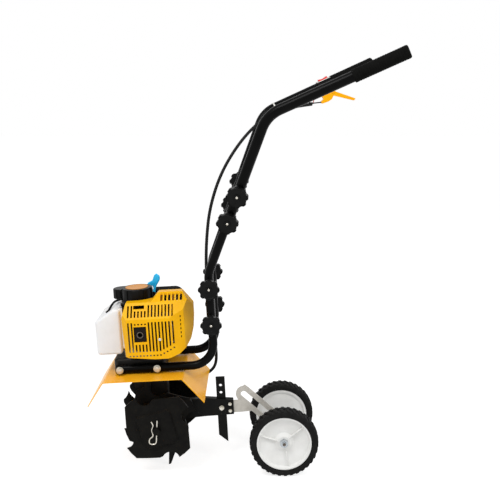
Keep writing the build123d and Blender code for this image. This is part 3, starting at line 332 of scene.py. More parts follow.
# One surface recipe: two tones in soft clouds, and a fine grain for roughness and relief.
# Its sizes are the width of a cloud, the width of a grain and the height of the relief, in millimetres.
# The finest grains are drawn coarser than the real ones, so that they show.
def grainySurface(name, looks):
    material = bpy.data.materials.new(name)
    tree = emptyTree(material)
    cloudWidth, grainWidth, reliefHeight = looks["sizes"]
    firstTone, otherTone = looks["tones"]
    low, high = looks["roughness"]
    spot = addNode(tree, "ShaderNodeTexCoord").outputs["Object"]
    clouds = addNode(tree, "ShaderNodeTexNoise", sockets={
        "Vector": spot, "Scale": 1000 / cloudWidth, "Detail": 4.0, "Roughness": 0.6,
    })
    share = addNode(tree, "ShaderNodeMapRange", sockets={
        "Value": clouds.outputs["Fac"], "From Min": 0.35, "From Max": 0.68,
    })
    tone = addNode(tree, "ShaderNodeMix", {"data_type": "RGBA"}, {
        0: share.outputs["Result"], 6: linear(firstTone), 7: linear(otherTone),
    })
    grain = addNode(tree, "ShaderNodeTexNoise", sockets={
        "Vector": spot, "Scale": 1000 / grainWidth, "Detail": 3.0,
    })
    gloss = addNode(tree, "ShaderNodeMapRange", sockets={
        "Value": grain.outputs["Fac"], "From Min": 0.3, "From Max": 0.7, "To Min": low, "To Max": high,
    })
    relief = addNode(tree, "ShaderNodeBump", sockets={
        "Height": grain.outputs["Fac"], "Strength": looks.get("bump", 0.3), "Distance": reliefHeight / 1000,
    })
    shader = addNode(tree, "ShaderNodeBsdfPrincipled", sockets={
        "Base Color": tone.outputs[2], "Roughness": gloss.outputs["Result"],
        "Normal": relief.outputs["Normal"], "Metallic": looks.get("metallic", 0.0),
        "Specular IOR Level": looks.get("specular", 0.5),
        "Subsurface Weight": looks.get("glow", 0.0), "Subsurface Radius": (0.012, 0.011, 0.009),
    })
    addNode(tree, "ShaderNodeOutputMaterial", sockets={"Surface": shader.outputs["BSDF"]})
    return material


surfaceLooks = {
    # gloss powder coat on sheet steel: slight orange peel and soft tone changes
    "orangePowderCoat": {"tones": ("#fab524", "#f4a918"), "sizes": (60, 1.6, 0.06),
                         "roughness": (0.22, 0.34), "specular": 0.12},
    # moulded ABS, deep yellow: fine spark-eroded grain
    "yellowAbs": {"tones": ("#f5b800", "#efad00"), "sizes": (45, 0.9, 0.04),
                  "roughness": (0.28, 0.42), "specular": 0.14},
    # blow-moulded polythene: milky, soft shine, light passes into it
    "milkyPolythene": {"tones": ("#f1f1f2", "#e9e9e9"), "sizes": (50, 2.5, 0.10),
                       "roughness": (0.38, 0.52), "glow": 0.12, "specular": 0.35},
    # glass-filled nylon, black: satin with faint flow marks
    "blackNylon": {"tones": ("#090909", "#0f0f0e"), "sizes": (25, 0.8, 0.05),
                   "roughness": (0.28, 0.42), "specular": 0.09},
    # talc-filled nylon of the air filter: dry matt black
    "mattNylon": {"tones": ("#0f0f0f", "#151514"), "sizes": (25, 0.9, 0.08),
                  "roughness": (0.72, 0.88), "specular": 0.03},
    # phenolic star knobs and thumb screw: slightly chalky black
    "blackPhenolic": {"tones": ("#0a0a0a", "#111111"), "sizes": (12, 0.7, 0.05),
                      "roughness": (0.26, 0.40), "specular": 0.1},
    # gloss black powder coat on tube: wet shine with orange peel
    "blackTubeCoat": {"tones": ("#060606", "#0a0a0a"), "sizes": (40, 1.5, 0.04),
                      "roughness": (0.20, 0.32), "specular": 0.055},
    # dipped black paint on forged tines: satin, uneven
    "blackTinePaint": {"tones": ("#0b0a09", "#141310"), "sizes": (18, 1.1, 0.12),
                       "roughness": (0.32, 0.52), "bump": 0.45, "specular": 0.065},
    # black paint on flat bar: smoother satin
    "blackBarPaint": {"tones": ("#0a0a09", "#11110f"), "sizes": (30, 1.2, 0.06),
                      "roughness": (0.32, 0.48), "specular": 0.1},
    # vulcanised rubber tyre: dry, dusty black
    "tyreRubber": {"tones": ("#100f0f", "#181817"), "sizes": (20, 1.0, 0.18),
                   "roughness": (0.60, 0.82), "bump": 0.5, "specular": 0.12},
    # nitrile foam grip: dead matt, pitted skin
    "gripFoam": {"tones": ("#0a0a09", "#10100f"), "sizes": (9, 1.4, 0.22),
                 "roughness": (0.66, 0.86), "bump": 0.6, "specular": 0.05},
    # moulded polypropylene wheel: white, even, soft shine
    "whitePolypropylene": {"tones": ("#eaeae8", "#e2e2df"), "sizes": (40, 1.2, 0.05),
                           "roughness": (0.32, 0.46), "specular": 0.35},
    # sand-cast aluminium of the engine: dull with a coarse skin
    "sandCastAluminium": {"tones": ("#a3a19d", "#8a8783"), "sizes": (22, 0.9, 0.16),
                          "roughness": (0.46, 0.66), "metallic": 0.75, "bump": 0.5},
    # painted gearbox casting: dark, satin, coarse skin
    "darkCasting": {"tones": ("#11100f", "#1b1917"), "sizes": (22, 0.9, 0.14),
                    "roughness": (0.40, 0.60), "bump": 0.45, "specular": 0.2},
    # heat-proof muffler paint: dead matt, browned by heat
    "heatProofPaint": {"tones": ("#120f0d", "#231912"), "sizes": (35, 0.7, 0.08),
                       "roughness": (0.62, 0.82), "specular": 0.2},
    # bare steel of the muffler outlet and the axle's ends: dull, gone brown
    "burntSteel": {"tones": ("#6e665e", "#564d45"), "sizes": (8, 0.6, 0.05),
                   "roughness": (0.42, 0.58), "metallic": 0.7},
    # zinc-plated sheet: pale, faintly mottled metal
    "zincPlate": {"tones": ("#c9c5bd", "#b7b3aa"), "sizes": (14, 1.4, 0.04),
                  "roughness": (0.34, 0.48), "metallic": 0.45},
    # zinc-plated bolts, clips, screws and studs: brighter, machined
    "brightZinc": {"tones": ("#d6d2c8", "#c0bbae"), "sizes": (6, 0.6, 0.03),
                   "roughness": (0.20, 0.34), "metallic": 0.9},
    # axle and its nuts: greyer zinc with a cold tint
    "greyZinc": {"tones": ("#b7bdc2", "#a2a8ac"), "sizes": (6, 0.6, 0.03),
                 "roughness": (0.20, 0.34), "metallic": 0.95},
    # ground steel shafts: bright, close lines
    "groundSteel": {"tones": ("#b9b7b3", "#a7a5a0"), "sizes": (9, 0.5, 0.02),
                    "roughness": (0.20, 0.34), "metallic": 1.0},
    # tin bronze of the worm wheel and bushes: warm, half polished
    "tinBronze": {"tones": ("#b08a4a", "#9c7638"), "sizes": (9, 0.5, 0.03),
                  "roughness": (0.26, 0.40), "metallic": 1.0},
    # rubber of the plug boot and the tank grommet: soft black
    "bootRubber": {"tones": ("#111111", "#1b1b1a"), "sizes": (10, 0.8, 0.06),
                   "roughness": (0.50, 0.68), "specular": 0.2},
    # moulded polypropylene choke lever: clear blue, soft shine
    "bluePolypropylene": {"tones": ("#33c8ff", "#28bbf8"), "sizes": (15, 0.9, 0.04),
                          "roughness": (0.28, 0.42), "specular": 0.35},
    # acetal throttle lever: orange, slightly waxy
    "orangeAcetal": {"tones": ("#fbb004", "#f5a603"), "sizes": (15, 0.9, 0.03),
                     "roughness": (0.26, 0.40), "specular": 0.12},
    # polycarbonate rocker: red, smooth
    "redPolycarbonate": {"tones": ("#e0201a", "#cc1914"), "sizes": (6, 0.8, 0.02),
                         "roughness": (0.18, 0.30), "specular": 0.3},
    # plain film disc on the starter: orange satin
    "orangeFilm": {"tones": ("#d9912f", "#cf8829"), "sizes": (12, 0.8, 0.02),
                   "roughness": (0.34, 0.46), "specular": 0.3},
    # moulded switch frame: pale grey
    "paleMoulding": {"tones": ("#e2e0da", "#d6d3cb"), "sizes": (8, 0.8, 0.03), "roughness": (0.32, 0.46)},
    # PVC on cable and hose: black, soft sheen
    "sleevePvc": {"tones": ("#0c0c0c", "#131312"), "sizes": (12, 0.8, 0.05),
                  "roughness": (0.30, 0.46), "specular": 0.14},
    # nylon cable tie: pale, waxy
    "paleNylon": {"tones": ("#dcdad4", "#d0cdc5"), "sizes": (8, 0.7, 0.02),
                  "roughness": (0.36, 0.5), "glow": 0.1},
    # PVC on the switch's wire: red, soft sheen
    "redPvc": {"tones": ("#c62a20", "#b8231b"), "sizes": (6, 0.7, 0.02), "roughness": (0.3, 0.45)},
    # braided starter rope: pale, dry, rough
    "ropeBraid": {"tones": ("#d8d3c6", "#b9b3a4"), "sizes": (3, 1.0, 0.3),
                  "roughness": (0.7, 0.9), "bump": 0.7},
}
surfaces = {name: grainySurface(name, looks) for name, looks in surfaceLooks.items()}
print("materials made:", len(surfaces))

# Solids that stay in sight, some of them as a left and a right one
nodeSurfaces = {
    "orangePowderCoat": ["guard"],
    "yellowAbs": ["shroud"],
    "milkyPolythene": ["fuel_tank"],
    "blackNylon": ["starter_housing", "starter_grip", "fuel_cap"],
    "mattNylon": ["air_filter_base", "air_filter_cover"],
    "blackTubeCoat": ["lower_tube", "mid_tube", "handlebar"],
    "blackTinePaint": ["inner_tine", "outer_tine", "tine_shaft"],
    "blackBarPaint": ["stake_holder", "drag_stake"],
    "whitePolypropylene": ["wheel_disc"],
    "sandCastAluminium": ["crankcase", "cylinder", "carburettor", "flywheel"],
    "darkCasting": ["gearbox", "clutch_housing"],
    "heatProofPaint": ["muffler"],
    "zincPlate": ["wheel_plate"],
    "brightZinc": ["flange_bolts", "hairpin_clips"],
    "greyZinc": ["wheel_axle"],
    "groundSteel": ["crankshaft", "worm_shaft", "clutch_drum", "clutch_shoes"],
    "tinBronze": ["bearings", "worm_wheel"],
    "bootRubber": ["spark_plug"],
    "orangeAcetal": ["throttle_lever"],
}


def paint(piece, surface):
    piece.data.materials.clear()
    piece.data.materials.append(surfaces[surface])


def dress(piece, surface, body=None):
    paint(piece, surface)
    activate(piece)
    bpy.ops.object.shade_smooth_by_angle(angle=smoothAngle)
    if body:
        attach(piece, body)


def paintNodes():
    for surface, names in nodeSurfaces.items():
        for name in names:
            for node in (name, name + "_left", name + "_right"):
                if node in nodes:
                    paint(nodes[node], surface)
    print("nodes painted")


# Cords: control points of each route in metres, as the solids have them
cableRoute = [
    (0.2231, 0.2501, 0.9459), (0.1844, 0.2427, 0.9410), (0.1519, 0.2325, 0.9359),
    (0.1207, 0.2195, 0.9242), (0.0876, 0.2023, 0.9208), (0.0282, 0.1793, 0.8736),
    (-0.0189, 0.1615, 0.8139), (-0.0560, 0.1427, 0.7462), (-0.0811, 0.1217, 0.6651),
    (-0.0893, 0.1034, 0.5893), (-0.0909, 0.0893, 0.5186), (-0.0889, 0.0883, 0.4827),
    (-0.0852, 0.0893, 0.4087), (-0.0829, 0.0933, 0.3608), (-0.0700, 0.1043, 0.3114),
    (-0.0642, 0.1203, 0.2406), (-0.0735, 0.1355, 0.2060), (-0.1013, 0.1455, 0.1834),
    (-0.1371, 0.1465, 0.1815), (-0.1672, 0.1455, 0.2010), (-0.1801, 0.1465, 0.2345),
    (-0.1895, 0.1465, 0.2790), (-0.1925, 0.1345, 0.3169), (-0.1937, 0.1085, 0.3389),
    (-0.1939, 0.0758, 0.3439),
]
cableSettings = {
    "radius": 4.5, "rib": 0.93, "smoothness": 20, "sleeveRun": 137, "splitHeight": 0.600,
    "upperLength": 0.515, "lowerLength": 0.695, "bendReach": 0.055, "middleTube": (0.3778, 0.2396, 0.8943),
}
hoseRoute = [
    (-0.3398, -0.0440, 0.4122), (-0.3304, -0.0180, 0.4347), (-0.3195, 0.0100, 0.4363),
    (-0.3094, 0.0270, 0.4349), (-0.2984, 0.0380, 0.4254), (-0.2831, 0.0500, 0.4012),
    (-0.2559, 0.0540, 0.3796), (-0.2370, 0.0570, 0.3626), (-0.2246, 0.0580, 0.3563),
    (-0.2123, 0.0580, 0.3539),
]
hoseSettings = {"radius": 3.0, "smoothness": 12, "length": 0.220}


def smoothLine(route, smoothness):
    curve = bpy.data.curves.new("route", "CURVE")
    curve.dimensions = "3D"
    spline = curve.splines.new("NURBS")
    spline.points.add(len(route) - 1)
    for point, spot in zip(spline.points, route):
        point.co = (*spot, 1.0)
    spline.order_u = 3
    spline.use_endpoint_u = True
    spline.resolution_u = smoothness
    holder = addObject("route", curve)
    mesh = bpy.data.meshes.new_from_object(holder)
    line = [vertex.co.copy() for vertex in mesh.vertices]
    bpy.data.objects.remove(holder)
    bpy.data.curves.remove(curve)
    bpy.data.meshes.remove(mesh)
    return line


# Round tube through a line's points, every other one a little thinner where rib is below 1
def tubeAlong(name, line, radius, rib=1.0):
    curve = bpy.data.curves.new(name, "CURVE")
    curve.dimensions = "3D"
    curve.bevel_depth = radius / 1000
    curve.bevel_resolution = 4
    curve.use_fill_caps = True
    spline = curve.splines.new("POLY")
    spline.points.add(len(line) - 1)
    for index, spot in enumerate(line):
        spline.points[index].co = (*spot, 1.0)
        spline.points[index].radius = 1.0 if index % 2 else rib
    activate(addObject(name, curve))
    bpy.ops.object.convert(target="MESH")
    return bpy.context.object


def declareCord(piece, line):
    measured = sum((after - before).length for before, after in zip(line, line[1:]))
    print(piece.name, "length", round(measured, 4))


# Throttle cable: two stretches of sleeve, each running across one fold of the right handle
def makeCable():
    line = smoothLine(cableRoute, cableSettings["smoothness"])
    sleeveEnd = barPoint(cableSettings["sleeveRun"], 0)
    line = [point for point in line if (point - sleeveEnd).dot(barAlong()) < 0]
    split = min(range(len(line)), key=lambda index: abs(line[index].z - cableSettings["splitHeight"]))
    upperLine = line[:split + 1]
    lowerLine = line[split:]
    radius = cableSettings["radius"]
    upper = tubeAlong("throttleCableUpper", upperLine, radius, cableSettings["rib"])
    lower = tubeAlong("throttleCableLower", lowerLine, radius, cableSettings["rib"])
    for piece in (upper, lower):
        dress(piece, "sleevePvc")
    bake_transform(upper)
    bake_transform(lower)
    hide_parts("throttle_cable")
    declareCord(upper, upperLine)
    declareCord(lower, lowerLine)


def makeHose():
    line = smoothLine(hoseRoute, hoseSettings["smoothness"])
    hose = tubeAlong("fuelHose", line, hoseSettings["radius"])
    dress(hose, "sleevePvc", "chassis")
    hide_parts("fuel_line")
    declareCord(hose, line)


# Wire of the switch: comes out under the bar and goes into the sleeve, points by run, drop and aside
wireRoute = [(166, 14.5, 0), (157, 15.5, 2), (149, 20, 3), (145, 27, 1), (141, 34, -1), (131, 37, -1)]
wireSettings = {"radius": 1.1, "smoothness": 10, "length": 0.044, "inward": (0.18738, -0.98229, 0)}


def makeSwitchWire():
    inward = alongMachine(*wireSettings["inward"])
    route = [barPoint(run, drop) + inward * aside / 1000 for run, drop, aside in wireRoute]
    line = smoothLine(route, wireSettings["smoothness"])
    wire = tubeAlong("switchWire", line, wireSettings["radius"])
    dress(wire, "redPvc", "bar_right")
    declareCord(wire, line)


# Inner cable: bare wire from the sleeve's end to the lever's nose, with a ferrule and a barrel
innerSettings = {
    "sleeve": (137.5, 33.5), "nose": (160.0, 40.6), "wire": 1.7, "hold": 2.0,
    "neckInset": 0.2, "neck": 1.0, "barrel": 1.6, "barrelLength": 3.0,
    "ferrule": 4.6, "ferruleLength": 11.0, "ferruleBack": 4.0, "ferruleTaper": 0.62,
    "spoutInset": 0.9, "spout": 3.0, "ferruleEdge": 0.6,
}


def makeInnerCable():
    sleeve = barPoint(*innerSettings["sleeve"])
    nose = barPoint(*innerSettings["nose"])
    axis = (nose - sleeve).normalized()
    wire = disc("innerCable", innerSettings["wire"], (nose - sleeve).length * 1000, vertices=12)
    insetTop(wire, innerSettings["neckInset"])
    extrude(0, 0, innerSettings["neck"])
    bpy.ops.transform.resize(value=(innerSettings["barrel"], innerSettings["barrel"], 1))
    extrude(0, 0, innerSettings["barrelLength"])
    settle(wire, (sleeve + nose) / 2, axis)
    dress(wire, "sleevePvc")
    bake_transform(wire)
    ferrule = disc("cableFerrule", innerSettings["ferrule"], innerSettings["ferruleLength"], vertices=32)
    pickFaces(ferrule, facesUp)
    bpy.ops.transform.resize(value=(innerSettings["ferruleTaper"], innerSettings["ferruleTaper"], 1))
    insetTop(ferrule, innerSettings["spoutInset"])
    extrude(0, 0, innerSettings["spout"])
    soften(ferrule, innerSettings["ferruleEdge"])
    settle(ferrule, sleeve - axis * innerSettings["ferruleBack"] / 1000, axis)
    dress(ferrule, "blackNylon", "bar_right")


# Throttle bracket: thin sleeve on the right bar, with one ear behind the lever and the pin it turns on
clampSettings = {
    "run": 191.0, "length": 38.0, "bore": 12.55, "wall": 0.9,
    "ear": (20.0, 3.0, 26.0), "earPlace": (8.0, 6.9, -22.0), "earEdge": 1.0,
    "pinPlace": (12.0, 1.6, -29.0), "pinRadius": 2.3, "pinLength": 13.0, "pinEdge": 0.4,
}


def makeControlClamp():
    sleeve = ring("controlClamp", clampSettings["bore"], clampSettings["wall"], clampSettings["length"])
    sleeve.rotation_euler = (0, math.pi / 2, 0)
    applyPlace(sleeve)
    ear = block("clampEar", clampSettings["ear"])
    shift(ear, *clampSettings["earPlace"])
    soften(ear, clampSettings["earEdge"])
    pin = disc("clampPin", clampSettings["pinRadius"], clampSettings["pinLength"], vertices=24)
    pin.rotation_euler = (math.pi / 2, 0, 0)
    shift(pin, *clampSettings["pinPlace"])
    soften(pin, clampSettings["pinEdge"])
    joinPieces(sleeve, [ear, pin])
    orient(sleeve, barPoint(clampSettings["run"], 0), barAlong(), -barDown)
    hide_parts("control_clamp")
    dress(sleeve, "blackNylon", "bar_right")


# Switch: red rocker in a pale frame, on a black case let into the top of the bar
switchSettings = {
    "run": 191.0, "base": 8.0, "seat": 12.8, "frame": 1.6, "length": 40.0, "width": 20.0,
    "rim": 3.0, "edge": 0.4, "openingLength": 28.0, "openingShare": 0.9,
    "rocker": (26.5, 12.8, 9.0), "rockerMiddle": 14.8, "rockerDip": 2.6, "rockerEdge": 0.7,
}


def makeSwitchHousing(name, bottom, thickness, surface):
    housing = block(name, (switchSettings["length"], switchSettings["width"], thickness))
    insetTop(housing, switchSettings["rim"])
    insetLength = switchSettings["length"] - 2 * switchSettings["rim"]
    bpy.ops.transform.resize(value=(switchSettings["openingLength"] / insetLength, 1, 1))
    extrude(0, 0, -switchSettings["openingShare"] * thickness)
    soften(housing, switchSettings["edge"])
    orient(housing, barPoint(switchSettings["run"], -bottom - thickness / 2), barAlong(), -barDown)
    dress(housing, surface, "bar_right")


def makeSwitch():
    base, seat = switchSettings["base"], switchSettings["seat"]
    makeSwitchHousing("switchCase", base, seat - base, "blackNylon")
    makeSwitchHousing("switchFrame", seat, switchSettings["frame"], "paleMoulding")
    rocker = block("switchRocker", switchSettings["rocker"])
    pickFaces(rocker, everyFace)
    bpy.ops.mesh.subdivide(number_cuts=1)
    pickPoints(rocker, lambda point: abs(point.x) < 0.001 < point.z)
    bpy.ops.transform.translate(value=metres((0, 0, -switchSettings["rockerDip"])))
    soften(rocker, switchSettings["rockerEdge"])
    orient(rocker, barPoint(switchSettings["run"], -switchSettings["rockerMiddle"]), barAlong(), -barDown)
    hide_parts("switch_rocker")
    dress(rocker, "redPolycarbonate", "switch_rocker")


# Cable tie round the right bar, where it starts its bend
tieSettings = {
    "run": 34.0, "radius": 12.6, "thickness": 1.1, "width": 4.2,
    "head": (6.0, 5.0, 4.0), "headEdge": 0.8,
}


def makeCableTie():
    band = ring("cableTie", tieSettings["radius"], tieSettings["thickness"], tieSettings["width"])
    head = block("tieHead", tieSettings["head"])
    shift(head, tieSettings["radius"] + tieSettings["head"][0] / 2, 0, 0)
    soften(head, tieSettings["headEdge"])
    joinPieces(band, [head])
    orient(band, barPoint(tieSettings["run"], 0), barDown, barAlong())
    dress(band, "paleNylon", "bar_right")


# Starter: plain disc on its lid, and the rope that runs out of the eyelet behind the grip
discSettings = {
    "place": (-41, 0, 348), "radius": 29.5, "thickness": 1.4,
    "rim": 2.5, "recess": 0.5, "edge": 0.3, "sink": 0.1,
}
ropeSettings = {
    "x": -41, "z": 311, "start": 38.0, "end": 58.0, "stretch": (46, 50),
    "radius": 1.9, "inset": 0.4,
}


def makeStarterDisc():
    piece = disc("starterDisc", discSettings["radius"], discSettings["thickness"], vertices=64)
    insetTop(piece, discSettings["rim"], -discSettings["recess"])
    soften(piece, discSettings["edge"])
    rise = discSettings["thickness"] / 2 - discSettings["sink"]
    settle(piece, atMachine(*discSettings["place"]) + machineUp * rise / 1000, machineUp)
    dress(piece, "orangeFilm", "chassis")


def ropePoint(y):
    return atMachine(ropeSettings["x"], y, ropeSettings["z"])


def makeStarterRope():
    start, end = ropeSettings["start"], ropeSettings["end"]
    rope = disc("starterRope", ropeSettings["radius"], end - start, vertices=16)
    pickFaces(rope, lambda face: abs(face.normal.z) > 0.9)
    bpy.ops.mesh.inset(thickness=ropeSettings["inset"] / 1000)
    settle(rope, ropePoint((start + end) / 2), machineRight)
    dress(rope, "ropeBraid")
    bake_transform(rope)


# Choke: bevelled lever with a black cap over its pivot, outline in millimetres from the pivot
chokeSettings = {
    "thickness": 10.0, "stand": 3.0, "edge": 3.0, "pin": 3.0, "pinLength": 15.0, "pinEdge": 0.4,
    "capRadius": 9.0, "capHeight": 3.0, "capRim": 2.5, "capDome": 0.8, "capEdge": 0.6,
}
chokeOutline = [
    (-4, -6), (-3, 8), (0, 15), (0, 23.5), (-15, 26.5), (-14.5, 33), (-1, 39),
    (4, 52), (10.5, 58), (20, 50), (19.5, 39), (11, 27), (6, 16), (4, -6),
]


def makeChokeLever():
    pivot = Vector(joints["choke_turn"]["pos_m"])
    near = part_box("choke_lever")[0][1] - chokeSettings["stand"] / 1000
    front = Vector((pivot.x, near, pivot.z))
    outline = [front + fromMachine(x, 0, z) / 1000 for x, z in chokeOutline]
    lever = plate("chokeLever", outline, chokeSettings["thickness"])
    soften(lever, chokeSettings["edge"])
    pin = disc("chokePin", chokeSettings["pin"], chokeSettings["pinLength"], vertices=24)
    soften(pin, chokeSettings["pinEdge"])
    pinDepth = chokeSettings["stand"] + chokeSettings["pinLength"] / 2
    settle(pin, front + machineRight * pinDepth / 1000, machineRight)
    joinPieces(lever, [pin])
    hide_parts("choke_lever")
    dress(lever, "bluePolypropylene", "choke_lever")
    cap = disc("chokeCap", chokeSettings["capRadius"], chokeSettings["capHeight"], vertices=40)
    insetTop(cap, chokeSettings["capRim"], chokeSettings["capDome"])
    soften(cap, chokeSettings["capEdge"])
    settle(cap, front - machineRight * chokeSettings["capHeight"] / 2000, -machineRight)
    dress(cap, "blackNylon", "choke_lever")


# Tank: rubber grommet where the hose comes out of the shoulder
grommetSettings = {
    "place": (-114, -38.5, 295.6), "axis": (-0.522, 0.25, 0.816), "radius": 6.6, "height": 4.5,
    "slope": (2.2, 1.4), "mouth": (0.8, -1.2), "edge": 0.6,
}


def makeGrommet():
    piece = disc("tankGrommet", grommetSettings["radius"], grommetSettings["height"], vertices=36)
    insetTop(piece, *grommetSettings["slope"])
    insetTop(piece, *grommetSettings["mouth"])
    soften(piece, grommetSettings["edge"])
    settle(piece, atMachine(*grommetSettings["place"]), alongMachine(*grommetSettings["axis"]))
    dress(piece, "bootRubber", "chassis")


# Muffler: rolled lip on its outlet, and a dark plate behind the shroud's rear slits, painted shade for the
# dark inside of the slits
outletSettings = {"place": (-27, -101.6, 246), "radius": 6.4, "wall": 2.0, "length": 1.8}
slitShadeSettings = {
    "place": (76.0, -88.4, 262), "size": (11, 1.6, 66), "along": (0.91, 0.41, 0),
    "rim": 2.0, "recess": 0.5, "edge": 0.3,
}


def makeOutlet():
    lip = ring("mufflerOutlet", outletSettings["radius"], outletSettings["wall"], outletSettings["length"])
    settle(lip, atMachine(*outletSettings["place"]), -machineRight)
    dress(lip, "burntSteel", "chassis")
    # Black plate as painted shade: it darkens the rear slits, which would otherwise show through
    shadePlate = block("slitShadePlate", slitShadeSettings["size"])
    pickFaces(shadePlate, lambda face: abs(face.normal.y) > 0.9)
    bpy.ops.mesh.inset(thickness=slitShadeSettings["rim"] / 1000, depth=-slitShadeSettings["recess"] / 1000,
                       use_individual=True)
    soften(shadePlate, slitShadeSettings["edge"])
    orient(shadePlate, atMachine(*slitShadeSettings["place"]), alongMachine(*slitShadeSettings["along"]), machineUp)
    dress(shadePlate, "blackNylon", "chassis")


# Air filter: cover ribs and the thumb screw that holds it
filterSettings = {
    "place": (28, 127.0, 275),
    "rib": (58.0, 2.8, 2.4), "ribRises": (-34, -27, -20, 20, 27, 34), "ribEdge": 0.8,
    "screwRadius": 9.5, "screwHeight": 7.0, "screwRim": 3.5, "screwDome": 2.0, "screwEdge": 0.7,
    "wing": (22, 4.2, 7), "wingRise": 3.5, "wingEdge": 1.4,
}


def makeFilterTrim():
    cover = atMachine(*filterSettings["place"])
    form = block("filterRibs", filterSettings["rib"])
    soften(form, filterSettings["ribEdge"])
    ribs = []
    for rise in filterSettings["ribRises"]:
        rib = copyOf(form, "filterRib")
        shift(rib, 0, 0, rise)
        ribs.append(rib)
    bpy.data.objects.remove(form)
    trim = joinPieces(ribs[0], ribs[1:])
    trim.name = "filterRibs"
    orient(trim, cover, machineBack, machineUp)
    dress(trim, "mattNylon", "chassis")
    height = filterSettings["screwHeight"]
    screw = disc("filterThumbScrew", filterSettings["screwRadius"], height, vertices=36)
    insetTop(screw, filterSettings["screwRim"], filterSettings["screwDome"])
    soften(screw, filterSettings["screwEdge"])
    wing = block("thumbWing", filterSettings["wing"])
    shift(wing, 0, 0, height / 2 + filterSettings["wingRise"])
    soften(wing, filterSettings["wingEdge"], segments=3)
    joinPieces(screw, [wing])
    settle(screw, cover + machineRight * height / 2000, machineRight)
    dress(screw, "blackPhenolic", "chassis")


# Screws with crossed slots
screwSettings = {
    "radius": 4.0, "height": 2.6, "rim": 1.2, "dome": 0.48, "edge": 0.3,
    "slot": 0.9, "slotDepth": 0.9, "slotLength": 5.2,
}
screwPlaces = {
    "ShroudSide": ((22.6, -105.3, 233.3), (0, -1, 0)),
    "CrankcaseLowFront": ((-68, 46.8, 182), (0, 1, 0)),
    "CrankcaseLowRear": ((-14, 46.8, 182), (0, 1, 0)),
    "CrankcaseHighFront": ((-68, 46.8, 248), (0, 1, 0)),
    "CrankcaseHighRear": ((-14, 46.8, 248), (0, 1, 0)),
}


def makeScrewForm():
    form = disc("screwForm", screwSettings["radius"], screwSettings["height"], vertices=32)
    insetTop(form, screwSettings["rim"], screwSettings["dome"])
    soften(form, screwSettings["edge"])
    length, width = screwSettings["slotLength"], screwSettings["slot"]
    for size in ((length, width), (width, length)):
        cutter = block("slotCutter", (*size, 2 * screwSettings["slotDepth"]))
        shift(cutter, 0, 0, screwSettings["height"] / 2 + screwSettings["dome"])
        combine(form, cutter, "DIFFERENCE")
    return form


def makeScrew(form, name):
    spot, axis = screwPlaces[name]
    screw = copyOf(form, "screw" + name)
    settle(screw, atMachine(*spot), alongMachine(*axis))
    dress(screw, "brightZinc", "chassis")


# Tyres: round shoulders and two rows of staggered lugs
tyreSettings = {
    "track": 206, "rim": 70, "carcass": 86.0, "outer": 89.0, "half": 21.0, "steps": 96,
    "sidewall": [(0, -3.5), (2.5, -1.2), (7, 0), (12, -0.6)], "shoulder": [(-0.6, -3), (0, -7)],
    "lugs": 34, "lugLength": 9.5, "lugRoot": 2.0, "lugInset": 2.5, "lugGap": 0.3, "lugEdge": 0.8,
    "lugDrop": 1.6, "lugSlant": 4.5, "lugTaper": (1, 0.9, 0.82),
}


def tyreProfile():
    side = stepped(tyreSettings["rim"], tyreSettings["half"], tyreSettings["sidewall"])
    side += stepped(tyreSettings["carcass"], tyreSettings["half"], tyreSettings["shoulder"])
    return side + [(radius, -across) for radius, across in reversed(side)]


def makeLug(row):
    depth = tyreSettings["outer"] - tyreSettings["carcass"] + tyreSettings["lugRoot"]
    width = tyreSettings["half"] - tyreSettings["lugInset"]
    lug = block("lug", (depth, width, tyreSettings["lugLength"]))
    shift(lug, tyreSettings["outer"] - depth / 2, row * (width / 2 + tyreSettings["lugGap"]), 0)
    pickFaces(lug, lambda face: face.normal.y * row > 0.9)
    bpy.ops.transform.translate(value=metres((-tyreSettings["lugDrop"], 0, row * tyreSettings["lugSlant"])))
    pickFaces(lug, lambda face: face.normal.x > 0.7)
    bpy.ops.transform.resize(value=tyreSettings["lugTaper"])
    soften(lug, tyreSettings["lugEdge"])
    return lug


def makeTyre(word):
    points = [(radius, across, 0) for radius, across in tyreProfile()]
    edges = [(index, (index + 1) % len(points)) for index in range(len(points))]
    tyre = spun("tyre" + word.capitalize(), points, edges, (0, 1, 0), tyreSettings["steps"])
    lugs = []
    for row, stagger in ((-1, 0), (1, 0.5)):
        form = makeLug(row)
        for index in range(tyreSettings["lugs"]):
            lug = copyOf(form, "lugCopy")
            lug.rotation_euler.y = math.radians((index + stagger) * 360 / tyreSettings["lugs"])
            lugs.append(lug)
        bpy.data.objects.remove(form)
    joinPieces(tyre, lugs)
    tyre.location = wheelPoint(word, tyreSettings["track"] / 2)
    applyPlace(tyre)
    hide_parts("tyre_" + word)
    dress(tyre, "tyreRubber", "wheel_" + word)


# Wheel discs: three deep ribs from hub to rim, over the low ones of the solids
ribSettings = {
    "turn": 39, "count": 3, "inner": 19.0, "outer": 65.0, "width": 3.4,
    "base": 5.0, "top": 12.0, "taper": 0.6, "edge": 0.5,
}


def makeWheelRibs(word):
    side = sides[word]
    length = ribSettings["outer"] - ribSettings["inner"]
    height = ribSettings["top"] - ribSettings["base"]
    form = block("ribForm", (length, ribSettings["width"], height))
    pickFaces(form, facesUp)
    bpy.ops.transform.resize(value=(1, ribSettings["taper"], 1))
    soften(form, ribSettings["edge"])
    shift(form, ribSettings["inner"] + length / 2, 0, 0)
    ribs = []
    for index in range(ribSettings["count"]):
        rib = copyOf(form, "wheelRib")
        rib.rotation_euler.z = -side * math.radians(ribSettings["turn"] + index * 360 / ribSettings["count"])
        applyPlace(rib)
        ribs.append(rib)
    bpy.data.objects.remove(form)
    star = joinPieces(ribs[0], ribs[1:])
    star.name = "wheelRibs" + word.capitalize()
    reach = tyreSettings["track"] / 2 + ribSettings["base"] + height / 2
    orient(star, wheelPoint(word, reach), machineBack, machineRight * side)
    dress(star, "whitePolypropylene", "wheel_" + word)


# A web that closes each wheel's inner side
webSettings = {"inner": 19.8, "outer": 64.2, "depth": 2.0, "inset": 13.5}


